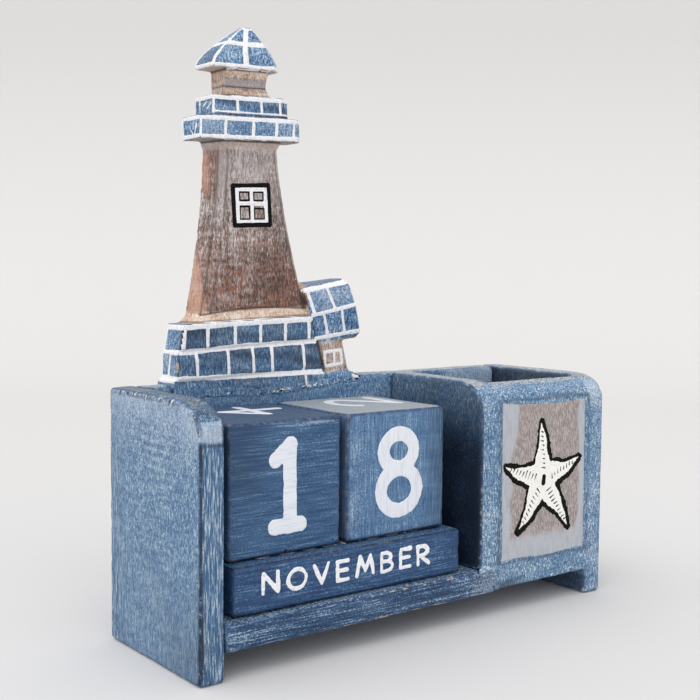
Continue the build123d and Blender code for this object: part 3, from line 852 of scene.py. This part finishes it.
def laid(strokes, middle, size, width, turn=0):
    """Strokes of a cell brought to a place and size, and turned by some quarter turns."""
    result = []
    for points in strokes:
        placed = []
        for x, y in points:
            x, y = x * size[0], y * size[1]
            for _ in range(turn):
                x, y = -y, x
            placed.append((middle[0] + x, middle[1] + y))
        result.append((placed, width))
    return result


def side_middle(node, side):
    """Middle of a piece's box as its own side's drawing plane sees it."""
    low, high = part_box(node)
    middle = (low + high) / 2 / MM
    right, up, out = (Vector(axis) for axis in SIDES[side])
    return np.array((middle.dot(right), middle.dot(up)))


number_size, number_width = (15.0, 24.6), 4.9
top_size, top_width = (18.0, 20.0), 3.4
for node, digits in (("tens_cube", "140235"), ("units_cube", "820167")):
    for side, digit in zip(("front", "top", "left", "right", "back", "bottom"), digits):
        shift = {"front": (0.7, 0.9 if digit == "1" else 0.2), "top": (3.2, 4.2)}.get(side, (0, 0))
        turn = 1 if side == "top" else 0
        size = top_size if side == "top" else number_size
        width = top_width if side == "top" else number_width
        strokes = laid(DIGITS[digit], side_middle(node, side) + shift, size, width, turn)
        paint_film(
            f"{node}_{side}_number", node, side, strokes, number_paints[node],
            cell=0.5, seed=int(digit) + 30,
        )

# Letters of the month names, in cells one high with their own widths
s_bends = arc((0.38, 0.75), (0.35, 0.25), 30, 270, 10) + arc((0.38, 0.25), (0.38, 0.25), 90, -140, 10)
LETTERS = {
    "A": (0.9, [[(0, 0), (0.45, 1), (0.9, 0)], [(0.2, 0.36), (0.7, 0.36)]]),
    "B": (0.74, [[(0, 0), (0, 1)] + arc((0.3, 0.76), (0.34, 0.24), 90, -90, 8),
                 [(0, 0.52)] + arc((0.34, 0.26), (0.4, 0.26), 90, -90, 8) + [(0, 0)]]),
    "C": (0.9, [arc((0.5, 0.5), (0.5, 0.5), 50, 310)]),
    "D": (0.86, [[(0, 0), (0, 1)] + arc((0.26, 0.5), (0.6, 0.5), 90, -90, 10) + [(0, 0)]]),
    "E": (0.7, [[(0.7, 1), (0, 1), (0, 0), (0.7, 0)], [(0, 0.52), (0.62, 0.52)]]),
    "F": (0.68, [[(0.68, 1), (0, 1), (0, 0)], [(0, 0.52), (0.56, 0.52)]]),
    "G": (0.95, [arc((0.5, 0.5), (0.5, 0.5), 50, 345) + [(0.55, 0.42)]]),
    "H": (0.8, [[(0, 0), (0, 1)], [(0.8, 0), (0.8, 1)], [(0, 0.5), (0.8, 0.5)]]),
    "I": (0.1, [[(0.05, 0), (0.05, 1)]]),
    "J": (0.6, [[(0.6, 1), (0.6, 0.3)] + arc((0.3, 0.3), (0.3, 0.3), 0, -150, 8)]),
    "L": (0.64, [[(0, 1), (0, 0), (0.64, 0)]]),
    "M": (1.12, [[(0, 0), (0.2, 1), (0.56, 0.2), (0.9, 1), (1.12, 0)]]),
    "N": (0.92, [[(0, 0), (0.04, 1), (0.9, 0.02), (0.92, 1)]]),
    "O": (1.12, [arc((0.56, 0.5), (0.56, 0.5), 90, 450, 20)]),
    "P": (0.74, [[(0, 0), (0, 1)] + arc((0.32, 0.74), (0.42, 0.26), 90, -90, 8) + [(0, 0.48)]]),
    "R": (0.78, [[(0, 0), (0, 1)] + arc((0.32, 0.74), (0.4, 0.26), 90, -90, 8) + [(0.1, 0.48), (0.78, 0)]]),
    "S": (0.74, [s_bends]),
    "T": (0.84, [[(0, 1), (0.84, 1)], [(0.42, 1), (0.42, 0)]]),
    "U": (0.84, [[(0, 1), (0, 0.36)] + arc((0.42, 0.36), (0.42, 0.36), 180, 360, 10) + [(0.84, 1)]]),
    "V": (0.9, [[(0, 1), (0.45, 0), (0.9, 1)]]),
    "Y": (0.86, [[(0, 1), (0.43, 0.5), (0.86, 1)], [(0.43, 0.5), (0.43, 0)]]),
}
letter_height = 5.7
letter_space = 3.3
letter_width = 1.45


def month_strokes(word, middle, draw):
    """A month's name in brush letters about a middle, each a little out of line."""
    length = sum(LETTERS[letter][0] * letter_height for letter in word) + letter_space * (len(word) - 1)
    start = middle[0] - length / 2
    strokes = []
    for letter in word:
        cell_width, shapes = LETTERS[letter]
        lean, drop = draw.uniform(-0.05, 0.05), draw.uniform(-0.3, 0.3)
        for shape in shapes:
            points = [
                (start + (x + lean * y) * letter_height, middle[1] + drop + (y - 0.5) * letter_height)
                for x, y in shape
            ]
            first, last = draw.uniform(0.85, 1.15), draw.uniform(0.8, 1.1)
            strokes.append((points, letter_width * first, letter_width * last))
        start += cell_width * letter_height + letter_space
    return strokes


months = {
    "front_month_bar": ("NOVEMBER", "DECEMBER", "OCTOBER", "SEPTEMBER"),
    "middle_month_bar": ("MAY", "JUNE", "JULY", "AUGUST"),
    "rear_month_bar": ("JANUARY", "FEBRUARY", "MARCH", "APRIL"),
}
hand = np.random.default_rng(8)
for bar_name, words in months.items():
    for side, word in zip(("front", "top", "back", "bottom"), words):
        shift = {"front": (-1.9, 0.9), "top": (-1.0, 1.8)}.get(side, (-1.0, 1.2))
        strokes = month_strokes(word, side_middle(bar_name, side) + shift, hand)
        cell = 0.24 if bar_name == "front_month_bar" and side == "front" else 0.42
        paint_film(
            f"{bar_name}_{side}_letters", bar_name, side, strokes, white_paint,
            cell=cell, wobble=0.15, seed=len(word),
        )


def on_carving(u, t, foot_x=tower_x, turn=tower_lean):
    """Place seen from the front of a point of the carving, from its own tilted lines."""
    return (foot_x + u * cos(turn) - t * sin(turn), foot_z + u * sin(turn) + t * cos(turn))


def on_house(u, t):
    """The same for the keeper's house."""
    return on_carving(u, t, house_x, house_tilt)


def rows(lines, place=on_carving):
    """Strokes of the carving's front, each from its points and its width."""
    return [([place(u, t) for u, t in points], *widths) for points, *widths in lines]


def beside(u, lines):
    """Strokes on the carving's left or right end, each from its depths, its heights and its width.
    The left end is drawn from the back to the front, the right end from the front to the back."""
    turn = -1 if u < 0 else 1
    return [([(turn * y, on_carving(u, t)[1]) for y, t in points], *widths) for points, *widths in lines]


# Depths at which the lines on the carving's ends start and stop
depth_front, depth_back = board_front - 0.6, back_high[1] + 3.4


def level_line(t, width):
    """A level stroke across one end of the carving."""
    return ([(depth_front, t), (depth_back, t)], width)


def paint_lines(name, side, strokes, material=white_paint, **details):
    """Paint strokes on one side of the carving."""
    paint_film(name, "lighthouse_carving", side, strokes, material, **details)


# Brick lines of the base: level lines first, then the uprights of its two courses
base_lines = [([(-28.0, 18.3), (-10, 18.5), (21.0, 18.2)], 2.1)]
base_lines += [([(-29.8, 10.4), (-6, 10.9), (23.4, 10.5)], 1.9)]
base_lines += [([(-30.6, 2.3), (-2, 1.0), (26.4, -0.1)], 1.8)]
base_lines += [([(u, 10.6), (u + 0.2, 18.2)], 1.4) for u in (-19.3, -9.1, 0.6, 10.4, 20.0)]
base_lines += [([(-28.2, 10.6), (-27.2, 18.2)], 2.0, 1.5)]
base_lines += [([(u, 1.6), (u - 0.1, 10.4)], 1.3) for u in (-23.3, -11.8, -2.35, 5.05, 17.75)]
paint_lines("base_brick_lines", "front", rows(base_lines), cell=0.3, seed=41)
end_lines = [level_line(18.3, 2.0), level_line(10.4, 1.6), level_line(1.9, 2.4)]
end_lines += [([(23.5, 10.4), (24.3, 2.3)], 1.3), ([(depth_back, 2.3), (depth_back, 18.3)], 1.3)]
paint_lines("base_left_lines", "left", beside(-29.5, end_lines), cell=0.3, seed=47)

# Lines of the two galleries
gallery_lines = [([(-19.6, 77.6), (0, 77.5), (21.5, 77.8)], 1.7), ([(-19.6, 83.5), (21.5, 83.4)], 1.6)]
gallery_lines += [([(-14.8, 85.5), (16.5, 85.3)], 0.8), ([(-14.8, 90.0), (16.5, 90.0)], 1.8)]
gallery_lines += [([(-19.1, 77.8), (-19.1, 83.4)], 1.5), ([(-14.3, 85.3), (-14.1, 89.8)], 1.3)]
gallery_lines += [([(u + 0.3, 83.4), (u - 0.2, 77.6)], 1.2) for u in (-9.95, 0.45, 9.35, 16.2)]
gallery_lines += [([(u, 89.8), (u + 0.2, 85.4)], 1.15) for u in (-5.3, 3.7, 10.9)]
paint_lines("gallery_lines", "front", rows(gallery_lines), cell=0.3, seed=42)
lower_ends = [level_line(77.8, 1.5), level_line(83.5, 1.5), ([(depth_back, 77.8), (depth_back, 83.5)], 1.4)]
upper_ends = [level_line(90.0, 1.6), ([(depth_back, 85.6), (depth_back, 90.0)], 1.2)]
upper_ends += [([(25.8, 85.6), (25.8, 90.0)], 1.0)]
upper_ends += [([(18.6, 88.2), (21.2, 86.6)], 0.5), ([(21.6, 88.6), (24.0, 87.4)], 0.5)]
smears = [([(20.2, 81.2), (21.6, 78.4)], 1.0, 0.5), ([(24.6, 80.8), (22.6, 78.6)], 0.5, 0.8)]
paint_lines("lower_gallery_left_lines", "left", beside(-19.4, lower_ends + smears), cell=0.3, seed=49)
paint_lines("upper_gallery_left_lines", "left", beside(-14.6, upper_ends), cell=0.3, seed=50)
paint_lines("lower_gallery_right_lines", "right", beside(20.6, lower_ends), cell=0.4, seed=54)
paint_lines("upper_gallery_right_lines", "right", beside(16.0, upper_ends), cell=0.4, seed=55)


def hip(eave, point):
    """Points up one bowed hip of the roof, seen from the front or from an end."""
    steps = [step / 8 for step in range(9)]
    return [(eave + (point - eave) * share**roof_bow, roof_foot + roof_height * share) for share in steps]


# Roof: white eave, hips, a band half way up and one up the middle
roof_lines = [([(eave_left, 99.8), (eave_right + 1, 99.8)], 1.8), (hip(eave_left + 0.5, point_left), 1.4)]
roof_lines += [(hip(eave_right - 0.3, point_right - 0.2), 1.2)]
roof_lines += [([(-9.6, 107.5), (0, 107.3), (8.6, 107.6)], 1.7)]
roof_lines += [([(-1.5, 100.2), (-1.1, 105), (0.4, 109.5), (1.9, 113.2)], 2.0)]
roof_lines += [([(0.6, 112.9), (3.4, 112.9)], 1.6)]
paint_lines("roof_lines", "front", rows(roof_lines), cell=0.3, seed=43)
roof_ends = [([(depth_front, 99.8), (depth_back + 0.4, 99.8)], 1.7), ([(19.6, 107.4), (27.2, 107.4)], 1.4)]
roof_ends += [(hip(depth_back + 0.1, 24.6), 1.2), (hip(18.1, 22.3), 1.1)]
paint_lines("roof_left_lines", "left", beside(-10, roof_ends), cell=0.3, seed=56)
paint_lines("roof_right_lines", "right", beside(9, roof_ends), cell=0.4, seed=57)

# Tower window: a white frame and cross between black lines round the whole and round each pane
frame_line = [(-5.1, 61.5), (5.85, 61.4), (5.95, 51.0), (-4.9, 50.9), (-5.1, 61.5)]
window_white = [(frame_line, 1.9), ([(0.45, 61.4), (0.6, 51.0)], 1.5), ([(-5.0, 56.9), (5.9, 56.7)], 1.5)]
paint_lines("window_frame", "front", rows(window_white), cell=0.22, wobble=0.05, seed=44)
outer_line = [(-6.5, 62.4), (7.0, 62.7), (7.3, 50.0), (-6.2, 49.9), (-6.5, 62.4)]
window_black = [(outer_line, 1.7, 1.9)]
for left, right, foot, head in (
    (-4.2, -0.55, 57.8, 60.5),
    (1.25, 4.9, 57.8, 60.5),
    (-4.1, -0.4, 51.7, 55.9),
    (1.4, 5.2, 51.7, 55.2),
):
    window_black.append(([(left, foot), (left, head), (right, head), (right, foot), (left, foot)], 0.75))
paint_lines(
    "window_outline", "front", rows(window_black), black_paint,
    cell=0.2, lift=0.12, wobble=0.06, seed=45,
)

# Keeper's house: two tiled courses with white lines, and a small window in its stem
house_lines = [([(-10.9, 29.7), (8.2, 31.0)], 1.7), ([(-8.9, 21.2), (10.6, 22.9)], 1.5)]
house_lines += [([(-8.0, 13.1), (12.6, 13.5)], 1.6), ([(-9.9, 29.4), (-8.2, 21.6)], 1.6)]
house_lines += [([(-1.7, 29.8), (0.6, 22.0)], 1.2), ([(-4.4, 21.2), (-2.8, 13.4)], 1.2)]
house_lines += [([(3.2, 21.9), (4.3, 13.6)], 1.2), ([(9.9, 22.4), (11.5, 13.8)], 1.1)]
house_lines += [([(8.4, 30.6), (10.1, 23.0)], 0.9)]
paint_lines("house_lines", "front", rows(house_lines, on_house), cell=0.3, seed=46)
stem_frame = [(-4.7, 8.0), (2.3, 7.8), (2.2, 3.1), (-4.9, 3.2), (-4.7, 8.0)]
stem_window = [(stem_frame, 1.3), ([(-0.7, 7.9), (-0.9, 3.2)], 1.1)]
paint_lines("stem_window", "front", rows(stem_window, on_house), cell=0.25, wobble=0.05, seed=58)
house_end = [level_line(t, 1.5) for t in (30.8, 22.8, 13.8)]
house_end += [([(depth_back, 13.8), (depth_back, 30.8)], 1.3)]
house_end += [([(22.9, 30.4), (23.4, 23.1)], 1.1), ([(24.1, 22.5), (23.8, 14.1)], 1.1)]
paint_lines("house_right_lines", "right", beside(23.5, house_end), cell=0.35, seed=48)


def patch_centre(places):
    """Share of the brown middle of the patch, which runs out at its top."""
    x = places[:, 0] + 0.8 * ripple(places, 6, 63)
    z = places[:, 1] + 1.2 * ripple(places, 5, 64)
    left = 39.4 - 2.8 * falling(z, 52, 62)
    return {"centre": band(x, left - 1.2, left + 1.0, 69.2, 70.6) * rising(z, 22.5, 27.5)}


def filler_marks(places):
    """The strokes round the patch run over the filler, and the base board's over its foot."""
    x, z = places.T
    foot = 0.6 * falling(z, 10, 16) * (x < 50)
    return {"shade": 0.6 * patch_frame(x, z) + foot, "pale": np.full(len(x), 0.2)}


def strip_surface(profile):
    """A surface to paint on, from the depths and heights of its profile, wider than the case."""
    points = [(x, y, z) for y, z in profile for x in (-100, 100)]
    return BVHTree.FromPolygons(points, [(k, k + 1, k + 3, k + 2) for k in range(0, len(points) - 2, 2)])


# The seams of the pen box's front are filled and painted over, round its worked top too. The
# surface that the filler is painted on lies a little way inside.
divider_high, pen_high = (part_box(name)[1] / MM for name in ("divider_panel", "pen_box_front_panel"))
filler_sunk = 0.1
bend_line = [(front_y + filler_sunk, 0)]
for turn in np.linspace(0, pi / 2, 12):
    run, fall = pen_corner_run * (1 - cos(turn)), corner_fall * (1 - sin(turn))
    bend_line.append((front_y + run + filler_sunk, pen_high[2] - fall - filler_sunk))
bend_line.append((front_y + 100, pen_high[2] - filler_sunk))
surfaces["pen_box_front"] = strip_surface(bend_line)
for side_name, seam in (("left", divider_high[0]), ("right", pen_high[0])):
    front_seam = [([(seam, 10.1), (seam + 0.1, 40), (seam, 75.5)], 2.6)]
    top_seam = [([(seam, front_y + 4.5), (seam, pen_front_back - 1.5)], 2.6)]
    seam_name = f"pen_box_{side_name}"
    paint_film(
        f"{seam_name}_filler", "pen_box_front", "front", front_seam, pen_paint,
        cell=0.6, lift=0.05, seed=66, marks=filler_marks,
    )
    paint_film(
        f"{seam_name}_top_filler", "pen_box_front", "top", top_seam, pen_paint,
        cell=0.6, lift=0.05, seed=75,
    )

# Filler at the divider's foot
foot_filler = [([(23.8, 16.3), (31.5, 16.2)], 2.2)]
paint_film(
    "divider_foot_filler", "pen_box_front", "front", foot_filler, pen_paint,
    cell=0.4, lift=0.06, wobble=0.4, seed=76,
)

# Painted patch of the pen box
front_panel = "pen_box_front_panel"
patch_strokes = []
for share in np.linspace(0, 1, 44):
    foot = (33.5 + 40.2 * share, 18.4 - 0.5 * share + 0.3 * sin(9 * share))
    head = (32.2 + 40.0 * share, 70.1 - 0.5 * share - 0.7 * sin(pi * share))
    patch_strokes.append(([foot, head], 1.5))
paint_film(
    "pen_box_patch", front_panel, "front", patch_strokes, patch_paint,
    cell=0.5, lift=0.05, seed=51, marks=patch_centre,
)

# Starfish: five uneven arms with a dark outline, a row of dashes up each, and a dark middle
star_middle = np.array((52.2, 43.4))
arm_widths = (10.6, 9.6, 8.2, 7.0, 5.4, 4.3, 3.2, 1.9, 0.5)
star_arms = ((94, 19.8, 0.8), (163, 19.4, 1.3), (234, 20.4, 1.0), (306, 21.2, 1.15), (19, 18.6, 0.9))
arm_lines, outline_lines = [], []
dash_lines = [([star_middle + (0.15, 1.0), star_middle - (0.15, 1.0)], 2.3)]
draw = np.random.default_rng(5)
for angle, reach, dash in star_arms:
    along = np.array((cos(radians(angle)), sin(radians(angle))))
    across = np.array((-along[1], along[0]))
    bend = draw.uniform(-1.2, 1.2)
    middle_line = []
    for k in range(9):
        middle_line.append(star_middle + along * reach * k / 8 + across * bend * sin(k * 0.9) * 0.5)
    for k, (width, next_width) in enumerate(zip(arm_widths, arm_widths[1:])):
        steps = middle_line[k : k + 2]
        arm_lines.append((steps, width, next_width))
        outline_lines.append(([p + (0.2, -0.15) for p in steps], width + 3.3, next_width + 3.0))
    for place in np.arange(4.3, reach - 2.6, 1.55):
        spot = star_middle + along * place + across * draw.uniform(-0.25, 0.25)
        half = across * (1.25 - 0.045 * place) * dash * draw.uniform(0.75, 1.2) + along * 0.2
        dash_lines.append(([spot - half, spot + half], 0.95, 0.6))
for name, lines, paint, cell, lift, wobble, seed in (
    ("starfish_outline", outline_lines, black_paint, 0.26, 0.08, 0.38, 59),
    ("starfish", arm_lines, star_paint, 0.28, 0.13, 0.26, 52),
    ("starfish_dashes", dash_lines, black_paint, 0.16, 0.18, 0.06, 53),
):
    paint_film(name, front_panel, "front", lines, paint, cell, lift, wobble, seed)

# Serrated paint along the left panel's top and back edges
draw = np.random.default_rng(9)
for tone, paint, count, length in (("dark", navy_paint, 74, 1.9), ("pale", chalk_paint, 46, 1.4)):
    dashes = []
    for _ in range(count):
        place = draw.uniform(-27, 24)
        bend = corner_share(place)
        fall = corner_fall * (1 - (1 - bend**2) ** 0.5)
        edge_place = np.array((-place, panel_high[2] - fall - draw.uniform(0.5, 1.0)))
        inward = np.array((-0.25 - 0.8 * bend, -1)) * draw.uniform(0.5, 1) * length
        dashes.append(([edge_place, edge_place + inward], draw.uniform(0.35, 0.7), 0.25))
    for _ in range(count // 2):
        edge_place = np.array((draw.uniform(-25.0, -24.0), draw.uniform(3, 76)))
        dash_end = edge_place + (0.2, draw.uniform(0.8, 2.4))
        dashes.append(([edge_place, dash_end], draw.uniform(0.35, 0.8), 0.3))
    paint_film(
        f"left_panel_{tone}_dashes", "left_side_panel", "left", dashes, paint,
        cell=0.25, lift=0.06, seed=67,
    )

# The carving's seam: a strip of filler painted like the board, with flecks of paint
surfaces["carving_seam"] = strip_surface([(board_front + 0.02, 0), (board_front + 0.02, 100)])
seam_line = ((-62.0, 75.7), (-42.3, 75.5), (-33.5, 74.7), (-16.8, 75.7), (6.5, 77.6))
filler_strokes = [([(x, z - 0.5) for x, z in seam_line], 2.6), ([(-63.4, 75.2), (-63.7, 77.6)], 1.8)]
paint_film(
    "carving_seam_filler", "carving_seam", "front", filler_strokes, back_paint,
    cell=0.4, lift=0.05, wobble=0.3, seed=70, marks=seam_marks,
)
for tone, paint, count, drop in (
    ("pale", chalk_paint, 46, 0.3),
    ("dark", black_paint, 26, 0.7),
    ("tan", tan_paint, 10, 0.2),
):
    flecks = []
    for x in draw.normal(-16, 13, count).clip(-45, 8):
        z = np.interp(x, *zip(*seam_line)) - drop - draw.uniform(0, 0.7)
        turn = np.array((draw.uniform(0.3, 1.1), draw.uniform(-0.5, 0.6)))
        flecks.append(([(x, z), (x + turn[0], z + turn[1])], draw.uniform(0.4, 0.85), 0.3))
    paint_film(f"seam_{tone}_flecks", "carving_seam", "front", flecks, paint, cell=0.22, lift=0.1, seed=68)

# Crumbs on the filler at the divider's foot, and touches of paint on the carving's seam
crumb_places = ((22.9, 16.6), (24.3, 17.3), (23.9, 15.9), (25.7, 16.8), (27.4, 16.4))
crumbs = [([(x, z), (x + 0.7, z + 0.2)], 0.7, 0.4) for x, z in crumb_places]
paint_film(
    "divider_foot_crumbs", "pen_box_front", "front", crumbs, chalk_paint,
    cell=0.2, lift=0.12, seed=77,
)
touches = [([(-14.2, 79.2), (-13.8, 75.7)], 0.9, 0.6), ([(6.0, 77.9), (8.2, 77.2)], 1.2, 0.7)]
paint_film(
    "seam_white_touches", "carving_seam", "front", touches, white_paint,
    cell=0.25, lift=0.12, seed=71,
)
dark_touches = [([(7.4, 76.7), (9.0, 77.6)], 0.8, 0.4), ([(4.2, 76.6), (5.2, 76.9)], 0.6, 0.3)]
paint_film(
    "seam_black_touches", "carving_seam", "front", dark_touches, black_paint,
    cell=0.25, lift=0.13, seed=72,
)

# Bare wood at the carving's corner and along the base board's edges, and worm holes in a cube
chip = beside(-30, [([(18.9, 7.0), (18.6, 4.4)], 1.1, 0.6)])
paint_lines("base_corner_chip", "left", chip, tan_paint, cell=0.22, seed=73)
# Heights at a stroke's start and end, its width, and where each stroke starts and how far it runs
bare = []
for first_z, last_z, width, spots in (
    (15.6, 15.7, 0.45, ((-19, 6), (-10, 5.5), (-1, 5), (8.5, 3))),
    (8.4, 8.3, 0.4, ((-33, 5), (-21, 9), (-6, 4), (3, 6))),
):
    bare += [([(start, first_z), (start + run, last_z)], width, 0.25) for start, run in spots]
paint_film("base_board_bare_edge", "base_board", "front", bare, tan_paint, cell=0.22, lift=0.07, seed=74)
holes = [([(-32.4, 33.2), (-32.2, 33.3)], 0.9), ([(-36.5, 33.4), (-36.1, 33.3)], 0.5)]
holes += [([(-49.5, 32.1), (-48.9, 32.4)], 0.8, 0.4), ([(-60.0, 55.0), (-59.9, 55.1)], 0.4)]
paint_film("tens_cube_worm_holes", "tens_cube", "front", holes, black_paint, cell=0.2, lift=0.05, seed=69)

# Plain pale floor that sweeps up behind the object
floor_front, floor_bend, floor_top, floor_half_width = -900, 600, 1500, 2500
sweep_radius = 400
sweep_profile = [(floor_front, 0)]
for turn in np.linspace(0, pi / 2, 20):
    sweep_profile.append((floor_bend + sweep_radius * sin(turn), sweep_radius * (1 - cos(turn))))
sweep_profile.append((floor_bend + sweep_radius, floor_top))
floor_points = []
for y, z in sweep_profile:
    floor_points += [(x * MM, y * MM, z * MM) for x in (-floor_half_width, floor_half_width)]
floor_faces = [(k, k + 1, k + 3, k + 2) for k in range(0, len(floor_points) - 2, 2)]
floor_mesh = bpy.data.meshes.new("floor_sweep")
floor_mesh.from_pydata(floor_points, [], floor_faces)
floor_mesh.shade_smooth()
floor = new_object("floor_sweep", floor_mesh)
floor.matrix_world = Matrix.Rotation(radians(camera_yaw), 4, "Z")
# Matt backdrop paper, a shade paler where it rises
paper, add, shader, where = new_finish("studio_paper", 0.9, 1.45)
depth = add("SeparateXYZ", {"Vector": where}).outputs["Y"]
tone = tinted(add, "#D7D6D7", depth, -300 * MM, 500 * MM, "#D6D5D4")
paper.node_tree.links.new(tone.outputs[0], shader.inputs["Base Color"])
floor_mesh.materials.append(paper)

# Soft studio light: an even room, a broad key from the left and a weak fill from the front
world = bpy.data.worlds.new("studio_room")
bpy.context.scene.world = world
world.use_nodes = True
world.node_tree.nodes["Background"].inputs["Color"].default_value = linear("#FFFFFF")
world.node_tree.nodes["Background"].inputs["Strength"].default_value = 0.6
for light_name, strength, softness, height, turn in (
    ("key_light", 0.85, 80, 48, -100),
    ("front_light", 1.1, 80, 35, -22),
    ("top_light", 0.8, 90, 75, 150),
):
    lamp = bpy.data.lights.new(light_name, "SUN")
    lamp.energy = strength
    lamp.angle = radians(softness)
    new_object(light_name, lamp).rotation_euler = (radians(90 - height), 0, radians(turn))

# Camera, at the photograph's viewing angle
lens = bpy.data.cameras.new("camera")
lens.sensor_width = 36
lens.lens = camera_lens
lens.clip_start = 0.01
lens.clip_end = 20
camera = new_object("camera", lens)
camera.matrix_world = (
    Matrix.Translation(Vector(camera_place) * MM)
    @ Matrix.Rotation(radians(camera_yaw), 4, "Z")
    @ Matrix.Rotation(radians(90 + camera_pitch), 4, "X")
    @ Matrix.Rotation(radians(camera_roll), 4, "Z")
)
bpy.context.scene.camera = camera
bpy.context.scene.view_settings.view_transform = "Standard"
